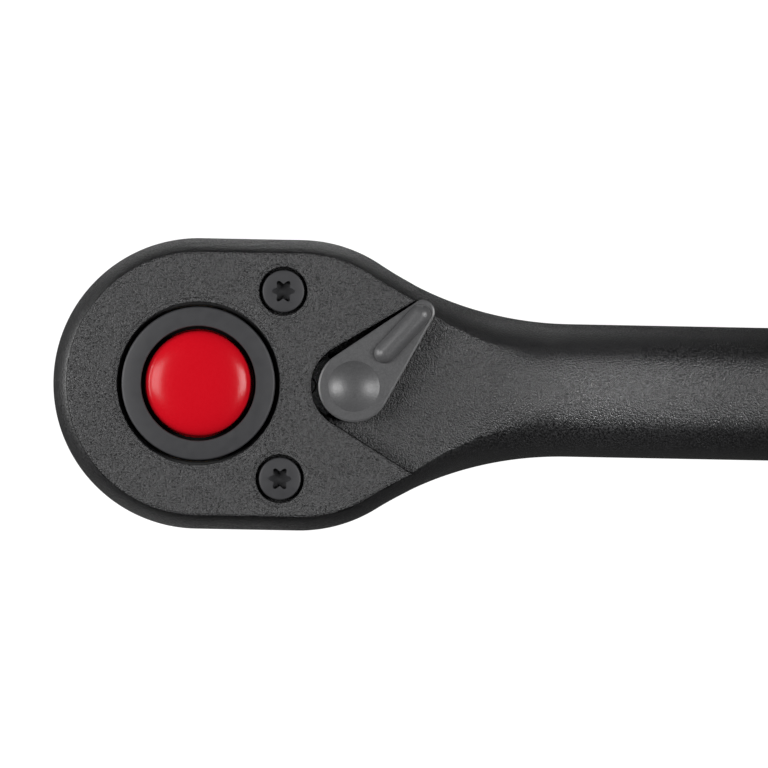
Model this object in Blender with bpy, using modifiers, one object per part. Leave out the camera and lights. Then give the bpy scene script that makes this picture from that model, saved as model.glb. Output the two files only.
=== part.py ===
"""Reversible ratchet handle with a quick-release square drive.

The drive axis is Z, with the square pointing down and its end face at Z = 0.
The handle runs along +X, and the cover, lever and release button are on top.
"""

import math

import bmesh
import bpy
from mathutils import Matrix, Vector

MM = 0.001

# Head and handle, seen from above
HEAD_RADIUS = 22.0 * MM
HEAD_STRETCH = 15.3 * MM
SHOULDER_WIDTH = 2.16 * MM
SHOULDER_HEIGHT = 6.0 * MM
WAIST_RADIUS = 52.8 * MM
NECK_WIDTH = 20.1 * MM
OVERALL_LENGTH = 270.0 * MM
NECK_END_X = 96.0 * MM
BELLY_WIDTH = 31.0 * MM
BELLY_X = 172.0 * MM
GRIP_END_WIDTH = 27.0 * MM

# Head and handle, seen from the side
SQUARE_SIDE = 12.7 * MM
SQUARE_LENGTH = 15.5 * MM
UNDERSIDE_STANDOFF = 0.5 * MM
HEAD_HEIGHT = 23.0 * MM
HEAD_FLOOR = 3.0 * MM
COVER_THICKNESS = 3.8 * MM
NECK_HEIGHT = 19.6 * MM
NECK_CROWN_LIFT = 3.0 * MM
BELLY_HEIGHT = 26.0 * MM
GRIP_END_HEIGHT = 23.0 * MM
GRIP_FULLNESS = 0.833
FLOOR_END_X = 43.0 * MM
CROWN_START_X = 57.0 * MM
OVAL_START_X = 31.0 * MM
UNDERSIDE_END_X = 32.0 * MM

# Drive gear
GEAR_TEETH = 72
GEAR_TIP_RADIUS = 13.5 * MM
TOOTH_DEPTH = 0.8 * MM
TOOTH_TIP_SHARE = 0.12
TOOTH_ROOT_SHARE = 0.32
JOURNAL_RADIUS = 11.57 * MM
JOURNAL_SHOULDER = 1.197 * MM
SQUARE_CHAMFER = 1.0 * MM

# Quick release
BUTTON_RADIUS = 7.95 * MM
BUTTON_GAP = 0.7 * MM
BUTTON_TRAVEL = 3.0 * MM
BUTTON_DOME = 2.4 * MM
BUTTON_FULLNESS = 0.8
BUTTON_DEPTH = 6.5 * MM
ROD_IN_BUTTON = 3.0 * MM
BUTTON_RIM_DROP = 1.4 * MM
BALL_RADIUS = 2.38 * MM
BALL_PROUD = 1.2 * MM
BALL_HEIGHT = 8.0 * MM
BALL_LIP = 0.1 * MM
BALL_CLEARANCE = 0.24 * MM
RELEASE_RAMP = 0.4
RELEASE_WIRE = 0.8 * MM
RELEASE_TURNS = 6
RELEASE_SPRING_DEPTH = 7.0 * MM
ROD_BORE_FLOOR = 1.5 * MM
SNAP_GROOVE_DEPTH = 0.65 * MM
SNAP_DROP = 1.8 * MM

# Pawl and reversing lever
PAWL_SWING = math.radians(9.0)
PAWL_PIN_RADIUS = 1.2 * MM
PAWL_TOOTH_START = math.radians(21.5)
PAWL_TOOTH_END = math.radians(34.5)
PAWL_TOOTH_WALL = 2.4 * MM
LEVER_SHAFT_RADIUS = 3.4 * MM
LEVER_SLIT = 0.24 * MM
LEVER_LENGTH = 15.3 * MM
LEVER_TIP_RADIUS = 1.8 * MM
LEVER_PLATE = 3.2 * MM
RIB_RADIUS = 1.6 * MM
RIB_START = 5.7 * MM
RIB_END = 16.3 * MM
DISH_RADIUS = 3.86 * MM
DISH_DEPTH = 1.3 * MM
PLUNGER_RADIUS = 1.2 * MM
PLUNGER_PROUD = 1.35 * MM
PAWL_WIRE = 0.4 * MM
PAWL_SPRING_TURNS = 3
PLUNGER_TAIL = 1.4 * MM
BORE_WALL = 1.0 * MM
CLIP_WIDTH = 2.0 * MM
CLIP_RECESS_DEPTH = 1.8 * MM

# Cover and its screws
NOTCH_ANGLE = math.radians(31.35)
NOTCH_GAP = 1.1 * MM
COVER_HOLE_GAP = 0.71 * MM
COVER_CHAMFER = 0.7 * MM
SPIGOT_DEPTH = 1.1 * MM
SCREW_ANGLE = math.radians(48.4)
SCREW_HEAD_RADIUS = 3.2 * MM
SCREW_HEAD_HEIGHT = 1.9 * MM
SCREW_SHANK_RADIUS = 1.7 * MM
SCREW_RECESS_RADIUS = 1.75 * MM
SCREW_RECESS_DEPTH = 1.3 * MM
LOBE_DEPTH = 0.14
SCREW_LENGTH = 12.0 * MM
SCREW_SUNK = 0.5 * MM
COUNTERBORE_GAP = 0.45 * MM
COUNTERBORE_CHAMFER = 0.65 * MM
INSERT_WALL = 0.45 * MM
SEAL_WIRE_RADIUS = 0.75 * MM
SEAL_HEIGHT = 1.3 * MM
LEVER_SEAL_WIRE_RADIUS = 0.5 * MM

# Fits
SEAT_GAP = 0.2 * MM
FIT_GAP = 0.3 * MM
RUNNING_GAP = 0.25 * MM
MESH_GAP = 0.15 * MM
HOUSING_WALL = 1.2 * MM
HOUSING_FLOOR = 1.4 * MM
SCREW_WALL = 0.85 * MM
OVERCUT = 1.0 * MM
EDGE = 0.35 * MM

ROUND = 32
FINE_ROUND = 20

# Heights that follow from the stack of parts
UNDERSIDE_Z = SQUARE_LENGTH + UNDERSIDE_STANDOFF
DECK_Z = UNDERSIDE_Z + HEAD_HEIGHT
COVER_LOW_Z = DECK_Z + SEAT_GAP
COVER_TOP_Z = COVER_LOW_Z + COVER_THICKNESS
SPIGOT_LOW_Z = DECK_Z - SPIGOT_DEPTH
WASHER_THICKNESS = 0.7 * MM
WASHER_TOP_Z = SPIGOT_LOW_Z - SEAT_GAP
GEAR_TOP_Z = WASHER_TOP_Z - WASHER_THICKNESS - FIT_GAP
POCKET_FLOOR_Z = UNDERSIDE_Z + HEAD_FLOOR
HOUSING_LOW_Z = POCKET_FLOOR_Z + FIT_GAP
HOUSING_DECK_Z = HOUSING_LOW_Z + HOUSING_FLOOR
HOUSING_TOP_Z = SPIGOT_LOW_Z - 2.0 * SEAT_GAP
BUSH_FLANGE = 0.8 * MM
BUSH_TOP_Z = HOUSING_DECK_Z + FIT_GAP + BUSH_FLANGE
GEAR_LOW_Z = BUSH_TOP_Z + FIT_GAP
PLUNGER_Z = 0.5 * (GEAR_LOW_Z + GEAR_TOP_Z)

# Radii and places that follow from the mechanism
HOUSING_BORE = GEAR_TIP_RADIUS + 2.0 * SEAT_GAP
HOUSING_RADIUS = HOUSING_BORE + HOUSING_WALL
POCKET_RADIUS = HOUSING_RADIUS + FIT_GAP
INSERT_INNER = SCREW_SHANK_RADIUS + RUNNING_GAP
INSERT_RADIUS = INSERT_INNER + INSERT_WALL
INSERT_HOLE = INSERT_RADIUS + RUNNING_GAP
SCREW_CIRCLE = POCKET_RADIUS + SCREW_WALL + INSERT_HOLE
PAWL_HOLE = PAWL_PIN_RADIUS + RUNNING_GAP
PAWL_FRONT_GAP = 0.5 * MM
PAWL_FRONT_WALL = 0.95 * MM
PAWL_X = GEAR_TIP_RADIUS + PAWL_FRONT_GAP + PAWL_FRONT_WALL + PAWL_HOLE
CRADLE_RADIUS = LEVER_SHAFT_RADIUS + PLUNGER_PROUD + MESH_GAP
PAWL_BACK_WALL = 0.7 * MM
LEVER_X = PAWL_X + PAWL_HOLE + PAWL_BACK_WALL + CRADLE_RADIUS
LEVER_BORE = LEVER_SHAFT_RADIUS + FIT_GAP
LEVER_BOSS = LEVER_BORE + HOUSING_WALL
LEVER_POCKET = LEVER_BOSS + FIT_GAP
LEVER_HUB_RADIUS = LEVER_POCKET + SEAT_GAP
NOTCH_RADIUS = LEVER_HUB_RADIUS + NOTCH_GAP
LEVER_REST = NOTCH_ANGLE + math.asin((NOTCH_RADIUS - LEVER_TIP_RADIUS - LEVER_SLIT) / LEVER_LENGTH)
LEVER_LOW_Z = DECK_Z + 2.0 * SEAT_GAP
LEVER_TOP_Z = LEVER_LOW_Z + LEVER_PLATE
PLUNGER_BORE_END = LEVER_SHAFT_RADIUS - BORE_WALL
BUTTON_BORE = BUTTON_RADIUS + BUTTON_GAP
COVER_HOLE = JOURNAL_RADIUS + COVER_HOLE_GAP
LOWER_JOURNAL_RADIUS = math.hypot(0.5 * SQUARE_SIDE, 0.5 * SQUARE_SIDE - SQUARE_CHAMFER) + JOURNAL_SHOULDER
BUSH_BORE = LOWER_JOURNAL_RADIUS + RUNNING_GAP
BUSH_FLANGE_RADIUS = GEAR_TIP_RADIUS - PAWL_FRONT_GAP
BUSH_RADIUS = min(BUSH_BORE + HOUSING_WALL, BUSH_FLANGE_RADIUS - 2.0 * FIT_GAP)
BUSH_HOLE = BUSH_RADIUS + FIT_GAP

for old in list(bpy.data.objects):
    bpy.data.objects.remove(old)

PARTS = bpy.data.collections.new("ratchet_handle")
CUTTERS = bpy.data.collections.new("cutters")
bpy.context.scene.collection.children.link(PARTS)
bpy.context.scene.collection.children.link(CUTTERS)


# Finishes

def finish(name, colour, roughness, metallic):
    """A Principled material with the finish of one kind of piece."""
    material = bpy.data.materials.new(name)
    material.use_nodes = True
    shader = material.node_tree.nodes["Principled BSDF"]
    shader.inputs["Base Color"].default_value = (*colour, 1.0)
    shader.inputs["Roughness"].default_value = roughness
    shader.inputs["Metallic"].default_value = metallic
    return material


COMPOSITE = finish("glass_fibre_composite", (0.045, 0.045, 0.046), 0.6, 0.0)
COVER_COMPOSITE = finish("cover_composite", (0.05, 0.05, 0.051), 0.6, 0.0)
GREY_PLASTIC = finish("grey_lever_plastic", (0.11, 0.11, 0.11), 0.45, 0.0)
RED_PLASTIC = finish("red_button_plastic", (0.6, 0.008, 0.015), 0.3, 0.0)
BLACK_STEEL = finish("black_oxide_steel", (0.05, 0.05, 0.05), 0.45, 0.6)
BRIGHT_STEEL = finish("hardened_steel", (0.5, 0.5, 0.5), 0.3, 1.0)
SPRING_STEEL = finish("spring_steel", (0.4, 0.4, 0.4), 0.35, 1.0)
BRONZE = finish("sintered_bronze", (0.45, 0.28, 0.12), 0.5, 1.0)
BRASS = finish("insert_brass", (0.6, 0.45, 0.15), 0.35, 1.0)
RUBBER = finish("seal_rubber", (0.012, 0.012, 0.012), 0.7, 0.0)


# Shapes

def place(name, mesh, material=None, parent=None):
    """Put a mesh in the scene, as a part if it has a finish and as a cutter if not."""
    obj = bpy.data.objects.new(name, mesh)
    obj.parent = parent
    if material is None:
        CUTTERS.objects.link(obj)
        obj.hide_render = True
        obj.display_type = "WIRE"
    else:
        PARTS.objects.link(obj)
        mesh.materials.append(material)
        mesh.shade_smooth()
        mesh.set_sharp_from_angle(angle=math.radians(30.0))
    return obj


def pivot(name, x, angle=0.0):
    """An empty on a vertical joint axis."""
    empty = bpy.data.objects.new(name, None)
    empty.location = (x, 0.0, 0.0)
    empty.rotation_euler = (0.0, 0.0, angle)
    PARTS.objects.link(empty)
    return empty


def curve_mesh(name, curve):
    """A curve's closed mesh, with its caps welded on."""
    holder = bpy.data.objects.new(name, curve)
    CUTTERS.objects.link(holder)
    view = bpy.context.evaluated_depsgraph_get()
    mesh = bpy.data.meshes.new_from_object(holder.evaluated_get(view))
    bpy.data.objects.remove(holder)
    bpy.data.curves.remove(curve)
    bm = bmesh.new()
    bm.from_mesh(mesh)
    bmesh.ops.remove_doubles(bm, verts=bm.verts, dist=0.002 * MM)
    bmesh.ops.recalc_face_normals(bm, faces=bm.faces)
    bm.to_mesh(mesh)
    bm.free()
    mesh.name = name
    mesh.materials.clear()
    return mesh


def prism(name, outline, low, high, material=None, parent=None):
    """A flat outline, given as points in X and Y, from one height to another."""
    curve = bpy.data.curves.new(name, "CURVE")
    curve.dimensions = "2D"
    curve.fill_mode = "BOTH"
    curve.extrude = 0.5 * (high - low)
    spline = curve.splines.new("POLY")
    spline.points.add(len(outline) - 1)
    for point, (x, y) in zip(spline.points, outline):
        point.co = (x, y, 0.0, 1.0)
    spline.use_cyclic_u = True
    mesh = curve_mesh(name, curve)
    mesh.transform(Matrix.Translation((0.0, 0.0, 0.5 * (low + high))))
    return place(name, mesh, material, parent)


def tube(name, points, radius, material=None, parent=None):
    """A round wire through a list of points."""
    curve = bpy.data.curves.new(name, "CURVE")
    curve.dimensions = "3D"
    curve.bevel_depth = radius
    curve.bevel_resolution = 1
    curve.use_fill_caps = True
    spline = curve.splines.new("POLY")
    spline.points.add(len(points) - 1)
    for point, place_on_wire in zip(spline.points, points):
        point.co = (*place_on_wire, 1.0)
    return place(name, curve_mesh(name, curve), material, parent)


def turned(name, profile, material=None, parent=None, ring=False, steps=ROUND):
    """A profile of radius and height, run down its outer side, turned about Z.

    It starts half a step round, so that a facet and not a corner faces along X.
    """
    mesh = bpy.data.meshes.new(name)
    bm = bmesh.new()
    start = math.pi / steps
    verts = [
        bm.verts.new((radius * math.cos(start), radius * math.sin(start), height))
        for radius, height in profile
    ]
    for first, second in zip(verts, verts[1:]):
        bm.edges.new((first, second))
    if ring:
        bm.edges.new((verts[-1], verts[0]))
    bm.to_mesh(mesh)
    bm.free()
    obj = place(name, mesh, material, parent)
    screw = obj.modifiers.new("Turn", "SCREW")
    screw.axis = "Z"
    screw.angle = 2.0 * math.pi
    screw.steps = steps
    screw.render_steps = steps
    screw.use_merge_vertices = True
    screw.merge_threshold = 0.001 * MM
    return obj


def cylinder(name, radius, low, high, x=0.0, y=0.0, material=None, parent=None, steps=ROUND):
    """An upright cylinder on the axis through x and y."""
    profile = [(0.0, high), (radius, high), (radius, low), (0.0, low)]
    obj = turned(name, profile, material, parent, steps=steps)
    obj.location = (x, y, 0.0)
    return obj


def washer(name, inner, outer, low, high, material, parent=None):
    """A plain flat ring about the drive axis."""
    profile = [(inner, high), (outer, high), (outer, low), (inner, low)]
    return turned(name, profile, material, parent, ring=True)


def o_ring(name, radius, wire_radius, height, material, parent=None):
    """A round-section ring about Z."""
    sides = 8
    profile = []
    for side in range(sides):
        angle = math.pi - 2.0 * math.pi * side / sides
        profile.append((radius + wire_radius * math.cos(angle), height + wire_radius * math.sin(angle)))
    return turned(name, profile, material, parent, ring=True)


def sphere(name, radius, location, material=None, parent=None):
    """A ball made of quads."""
    mesh = bpy.data.meshes.new(name)
    bm = bmesh.new()
    bmesh.ops.create_uvsphere(bm, u_segments=FINE_ROUND, v_segments=FINE_ROUND // 2, radius=radius)
    bm.to_mesh(mesh)
    bm.free()
    obj = place(name, mesh, material, parent)
    obj.location = location
    return obj


def combine(target, tool, operation):
    """Add another shape to a part, or take it away."""
    boolean = target.modifiers.new(tool.name, "BOOLEAN")
    boolean.operation = operation
    boolean.object = tool
    boolean.solver = "EXACT"


def cut(target, *tools):
    """Take cutters out of a part."""
    for tool in tools:
        combine(target, tool, "DIFFERENCE")


def fuse(target, *tools):
    """Join shapes to a part."""
    for tool in tools:
        combine(target, tool, "UNION")


def arc(x, y, radius, start, end, segments):
    """Points on an arc, both ends included."""
    points = []
    for step in range(segments + 1):
        angle = start + (end - start) * step / segments
        points.append((x + radius * math.cos(angle), y + radius * math.sin(angle)))
    return points


def ease(value):
    """A smooth step from 0 to 1."""
    held = min(max(value, 0.0), 1.0)
    return held * held * (3.0 - 2.0 * held)


def between(start, end, share):
    """The value a share of the way from start to end."""
    return start + (end - start) * share


def helix(radius, start, end, turns):
    """Points along a coil about Z."""
    per_turn = 10
    count = turns * per_turn
    points = []
    for step in range(count + 1):
        angle = 2.0 * math.pi * step / per_turn
        height = between(start, end, step / count)
        points.append((radius * math.cos(angle), radius * math.sin(angle), height))
    return points


def print_turn_gap(name, points, wire):
    """Measure the least gap of a coil to itself, between points a turn or so apart."""
    nearest = min(
        (Vector(first) - Vector(second)).length
        for index, first in enumerate(points)
        for second in points[index + 7:]
    )
    print(name, "least gap between turns", round((nearest - wire) / MM, 2), "mm")


# Head, neck and grip

WAIST_Y = 0.5 * NECK_WIDTH + WAIST_RADIUS
WAIST_X = HEAD_STRETCH + math.sqrt((HEAD_RADIUS + WAIST_RADIUS) ** 2 - WAIST_Y ** 2)
WAIST_ANGLE = math.atan2(WAIST_Y, WAIST_X - HEAD_STRETCH)
GRIP_END_X = OVERALL_LENGTH - HEAD_RADIUS
GRIP_END_RADIUS = 0.5 * GRIP_END_WIDTH
GRIP_ROUND_X = GRIP_END_X - GRIP_END_RADIUS


def grip_size(x, neck, belly, end):
    """A width or height that swells from the neck to the palm and draws in towards the end."""
    if x < BELLY_X:
        return between(neck, belly, ease((x - NECK_END_X) / (BELLY_X - NECK_END_X)))
    return between(belly, end, ease((x - BELLY_X) / (GRIP_ROUND_X - BELLY_X)))


def grip_half_width(x):
    """Half the handle's width, which is constant along the neck."""
    return 0.5 * grip_size(x, NECK_WIDTH, BELLY_WIDTH, GRIP_END_WIDTH)


def body_outline():
    """Stations along the plan outline, from nose to grip end: a point and its outward normal."""
    stations = []

    def add_arc(x, y, radius, start, end, segments, side):
        for step in range(segments):
            angle = between(start, end, step / segments)
            normal = Vector((math.cos(angle), math.sin(angle), 0.0))
            stations.append((Vector((x, y, 0.0)) + radius * normal, side * normal))

    quarter = 0.5 * math.pi
    add_arc(0.0, 0.0, HEAD_RADIUS, math.pi, quarter, 10, 1.0)
    stations.append((Vector((0.0, HEAD_RADIUS, 0.0)), Vector((0.0, 1.0, 0.0))))
    add_arc(HEAD_STRETCH, 0.0, HEAD_RADIUS, quarter, WAIST_ANGLE, 5, 1.0)
    add_arc(WAIST_X, WAIST_Y, WAIST_RADIUS, WAIST_ANGLE + math.pi, 1.5 * math.pi, 12, -1.0)
    grip_steps = 20
    for step in range(grip_steps):
        x = between(WAIST_X, GRIP_ROUND_X, step / grip_steps)
        slope = (grip_half_width(x + MM) - grip_half_width(x - MM)) / (2.0 * MM)
        stations.append((Vector((x, grip_half_width(x), 0.0)), Vector((-slope, 1.0, 0.0)).normalized()))
    add_arc(GRIP_ROUND_X, 0.0, GRIP_END_RADIUS, quarter, 0.0, 8, 1.0)
    tip = Vector((1.0, 0.0, 0.0))
    stations.append((GRIP_END_X * tip, tip))
    return stations


def body_heights(x):
    """The lowest and highest point of the body's section at x."""
    neck_top = DECK_Z + NECK_CROWN_LIFT
    neck_low = neck_top - NECK_HEIGHT
    axis = 0.5 * (neck_top + neck_low)
    low = between(UNDERSIDE_Z, neck_low, ease((x - UNDERSIDE_END_X) / (CROWN_START_X - UNDERSIDE_END_X)))
    top = between(DECK_Z, neck_top, ease((x - FLOOR_END_X) / (CROWN_START_X - FLOOR_END_X)))
    if x > NECK_END_X:
        half = 0.5 * grip_size(x, NECK_HEIGHT, BELLY_HEIGHT, GRIP_END_HEIGHT)
        return axis - half, axis + half
    return low, top


def head_section(reach):
    """Flat faces, upright walls and rounded shoulders: inset from the outline and share of height."""
    shoulder = SHOULDER_HEIGHT / HEAD_HEIGHT
    lower = [(reach, 0.0), (0.5 * (reach + SHOULDER_WIDTH), 0.0), (SHOULDER_WIDTH, 0.0)]
    for angle in (math.radians(60.0), math.radians(30.0)):
        inset = SHOULDER_WIDTH * (1.0 - math.cos(angle))
        lower.append((inset, shoulder * (1.0 - math.sin(angle))))
    lower.append((0.0, shoulder))
    return lower + [(0.0, 0.5)] + [(inset, 1.0 - share) for inset, share in reversed(lower)]


def grip_section(reach):
    """A full oval: inset from the outline and share of height."""
    section = []
    for degrees in (-90.0, -74.0, -60.0, -47.0, -34.0, -17.0, 0.0, 17.0, 34.0, 47.0, 60.0, 74.0, 90.0):
        angle = math.radians(degrees)
        inset = reach * (1.0 - max(math.cos(angle), 0.0) ** GRIP_FULLNESS)
        rise = math.copysign(abs(math.sin(angle)) ** GRIP_FULLNESS, angle)
        section.append((inset, 0.5 + 0.5 * rise))
    return section


def body_row(station):
    """One row of the loft, round the body on the normal line at a station."""
    point, normal = station
    if normal.y > 0.001:
        reach = point.y / normal.y
    elif point.x < 0.0:
        reach = HEAD_RADIUS
    else:
        reach = GRIP_END_RADIUS
    oval = ease((point.x - OVAL_START_X) / (CROWN_START_X - OVAL_START_X))
    row = []
    for flat, full in zip(head_section(reach), grip_section(reach)):
        inset = between(flat[0], full[0], oval)
        share = between(flat[1], full[1], oval)
        spot = point - inset * normal
        low, top = body_heights(spot.x)
        row.append(Vector((spot.x, max(spot.y, 0.0), between(low, top, share))))
    return row + [Vector((spot.x, -spot.y, spot.z)) for spot in reversed(row)]


def body_mesh():
    """The moulding as a loft along its outline, closed at the nose and the grip end."""
    mesh = bpy.data.meshes.new("body")
    bm = bmesh.new()
    rows = []
    for station in body_outline():
        rows.append([bm.verts.new(spot) for spot in body_row(station)])
    count = len(rows[0])
    for near, far in zip(rows, rows[1:]):
        for index in range(count):
            following = (index + 1) % count
            bm.faces.new((near[index], near[following], far[following], far[index]))
    bmesh.ops.remove_doubles(bm, verts=bm.verts, dist=0.001 * MM)
    bmesh.ops.dissolve_degenerate(bm, edges=bm.edges, dist=0.0005 * MM)
    bmesh.ops.recalc_face_normals(bm, faces=bm.faces)
    bm.to_mesh(mesh)
    bm.free()
    return mesh


SCREW_PLACES = {
    "upper": (SCREW_CIRCLE * math.cos(SCREW_ANGLE), SCREW_CIRCLE * math.sin(SCREW_ANGLE)),
    "lower": (SCREW_CIRCLE * math.cos(SCREW_ANGLE), -SCREW_CIRCLE * math.sin(SCREW_ANGLE)),
}
SCREW_HEAD_Z = COVER_TOP_Z - SCREW_SUNK
SCREW_SEAT_Z = SCREW_HEAD_Z - SCREW_HEAD_HEIGHT - RUNNING_GAP
SCREW_TIP_Z = SCREW_SEAT_Z - SCREW_LENGTH
INSERT_TOP_Z = DECK_Z - FIT_GAP
CLIP_RECESS_Z = POCKET_FLOOR_Z - CLIP_RECESS_DEPTH
CLIP_NECK = LEVER_SHAFT_RADIUS - 0.8 * MM
CLIP_RADIUS = CLIP_NECK + CLIP_WIDTH
CLIP_LOW_Z = CLIP_RECESS_Z + 2.0 * FIT_GAP
CLIP_HIGH_Z = POCKET_FLOOR_Z - 0.5 * SEAT_GAP
PAWL_TIP = GEAR_TIP_RADIUS + PAWL_TOOTH_WALL
PAWL_BLOCK_Y = PAWL_TIP * math.sin(PAWL_TOOTH_END) + PAWL_FRONT_GAP + HOUSING_WALL


def closed(half):
    """A closed outline from its half above the X axis, which starts and ends on that axis."""
    return half + [(x, -y) for x, y in reversed(half[1:-1])]


def housing_outline(grow):
    """The housing round the gear, the pawl and the lever's shaft, grown all round."""
    radius = HOUSING_RADIUS + grow
    y = PAWL_BLOCK_Y + grow
    half = arc(0.0, 0.0, radius, math.pi, math.asin(y / radius), 18)
    half.append((PAWL_X - 1.5 * MM, y))
    half += arc(LEVER_X, 0.0, LEVER_BOSS + grow, math.radians(100.0), 0.0, 9)
    return closed(half)


def make_body():
    body = place("body", body_mesh(), COMPOSITE)
    high = DECK_Z + OVERCUT
    low = UNDERSIDE_Z - OVERCUT
    pocket = prism("cut_housing_pocket", housing_outline(FIT_GAP), POCKET_FLOOR_Z, high)
    floor = POCKET_FLOOR_Z + OVERCUT
    clip = cylinder("cut_clip_recess", CLIP_RADIUS + FIT_GAP, CLIP_RECESS_Z, floor, LEVER_X)
    drive = cylinder("cut_drive_hole", BUSH_HOLE, low, floor)
    cut(body, pocket, clip, drive)
    for side, (x, y) in SCREW_PLACES.items():
        name = "cut_insert_hole_" + side
        cut(body, cylinder(name, INSERT_HOLE, SCREW_TIP_Z - FIT_GAP, high, x, y, steps=FINE_ROUND))


# Steel housing and bearings

def make_housing():
    outline = housing_outline(0.0)
    housing = prism("mechanism_housing", outline, HOUSING_LOW_Z, HOUSING_TOP_Z, BLACK_STEEL)
    low = HOUSING_LOW_Z - OVERCUT
    high = HOUSING_DECK_Z + OVERCUT
    cavity = prism("cut_cavity", housing_outline(-HOUSING_WALL), HOUSING_DECK_Z, HOUSING_TOP_Z + OVERCUT)
    shaft_hole = cylinder("cut_shaft_hole", LEVER_SHAFT_RADIUS + RUNNING_GAP, low, high, LEVER_X)
    bush_hole = cylinder("cut_bush_hole", BUSH_HOLE, low, high)
    pin_hole = cylinder("cut_pin_hole", PAWL_HOLE, low, high, PAWL_X, steps=FINE_ROUND)
    cut(housing, cavity, shaft_hole, bush_hole, pin_hole)
    pin_low = HOUSING_LOW_Z + SEAT_GAP
    pin_top = GEAR_TOP_Z + FIT_GAP
    cylinder("pawl_pin", PAWL_PIN_RADIUS, pin_low, pin_top, PAWL_X, 0.0, BRIGHT_STEEL, steps=FINE_ROUND)
    flange_z = BUSH_TOP_Z - BUSH_FLANGE
    bush = [
        (BUSH_BORE, BUSH_TOP_Z),
        (BUSH_FLANGE_RADIUS, BUSH_TOP_Z),
        (BUSH_FLANGE_RADIUS, flange_z),
        (BUSH_RADIUS, flange_z),
        (BUSH_RADIUS, UNDERSIDE_Z + FIT_GAP),
        (BUSH_BORE, UNDERSIDE_Z + FIT_GAP),
    ]
    turned("lower_bush", bush, BRONZE, ring=True)
    inner = JOURNAL_RADIUS + RUNNING_GAP
    low = WASHER_TOP_Z - WASHER_THICKNESS
    washer("thrust_washer", inner, GEAR_TIP_RADIUS, low, WASHER_TOP_Z, BRONZE)


# Cover, its screws and its seal

def cover_half():
    """Half the cover's outline, from the nose to the middle of the lever's notch."""
    radius = HEAD_RADIUS - SHOULDER_WIDTH
    waist = WAIST_RADIUS + SHOULDER_WIDTH
    edge = Vector((math.cos(NOTCH_ANGLE), math.sin(NOTCH_ANGLE)))
    start = Vector((LEVER_X - NOTCH_RADIUS * edge.y, NOTCH_RADIUS * edge.x))
    offset = start - Vector((WAIST_X, WAIST_Y))
    along = offset.dot(edge)
    length = -along - math.sqrt(along ** 2 - offset.length_squared + waist ** 2)
    corner = start + length * edge
    corner_angle = math.atan2(corner.y - WAIST_Y, corner.x - WAIST_X) + 2.0 * math.pi
    half = arc(0.0, 0.0, radius, math.pi, 0.5 * math.pi, 14)
    half += arc(HEAD_STRETCH, 0.0, radius, 0.5 * math.pi, WAIST_ANGLE, 6)
    half += arc(WAIST_X, WAIST_Y, waist, WAIST_ANGLE + math.pi, corner_angle, 3)[1:]
    half += arc(LEVER_X, 0.0, NOTCH_RADIUS, 0.5 * math.pi + NOTCH_ANGLE, math.pi, 8)
    return half


def make_cover():
    cover = prism("cover_plate", closed(cover_half()), COVER_LOW_Z, COVER_TOP_Z, COVER_COMPOSITE)
    spigot = cylinder("add_cover_spigot", HOUSING_RADIUS, SPIGOT_LOW_Z, COVER_LOW_Z + OVERCUT)
    fuse(cover, spigot)
    seal_z = COVER_LOW_Z + SEAL_HEIGHT
    seal_half = SEAL_WIRE_RADIUS + SEAT_GAP
    seal_radius = JOURNAL_RADIUS + RUNNING_GAP + SEAL_WIRE_RADIUS
    groove = seal_radius + seal_half
    hole = [
        (0.0, COVER_TOP_Z + OVERCUT),
        (COVER_HOLE + COVER_CHAMFER + OVERCUT, COVER_TOP_Z + OVERCUT),
        (COVER_HOLE, COVER_TOP_Z - COVER_CHAMFER),
        (COVER_HOLE, seal_z + seal_half),
        (groove, seal_z + seal_half),
        (groove, seal_z - seal_half),
        (COVER_HOLE, seal_z - seal_half),
        (COVER_HOLE, SPIGOT_LOW_Z - OVERCUT),
        (0.0, SPIGOT_LOW_Z - OVERCUT),
    ]
    cut(cover, turned("cut_cover_hole", hole))
    o_ring("dust_seal", seal_radius, SEAL_WIRE_RADIUS, seal_z, RUBBER)
    for side, (x, y) in SCREW_PLACES.items():
        make_screw(cover, side, x, y)


def screw_recess(name, x, y):
    """A six-lobe socket, as a cutter."""
    outline = []
    points = 36
    for step in range(points):
        angle = 2.0 * math.pi * step / points
        radius = SCREW_RECESS_RADIUS * (1.0 - LOBE_DEPTH + LOBE_DEPTH * math.cos(6.0 * angle))
        outline.append((x + radius * math.cos(angle), y + radius * math.sin(angle)))
    return prism(name, outline, SCREW_HEAD_Z - SCREW_RECESS_DEPTH, SCREW_HEAD_Z + OVERCUT)


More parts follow.
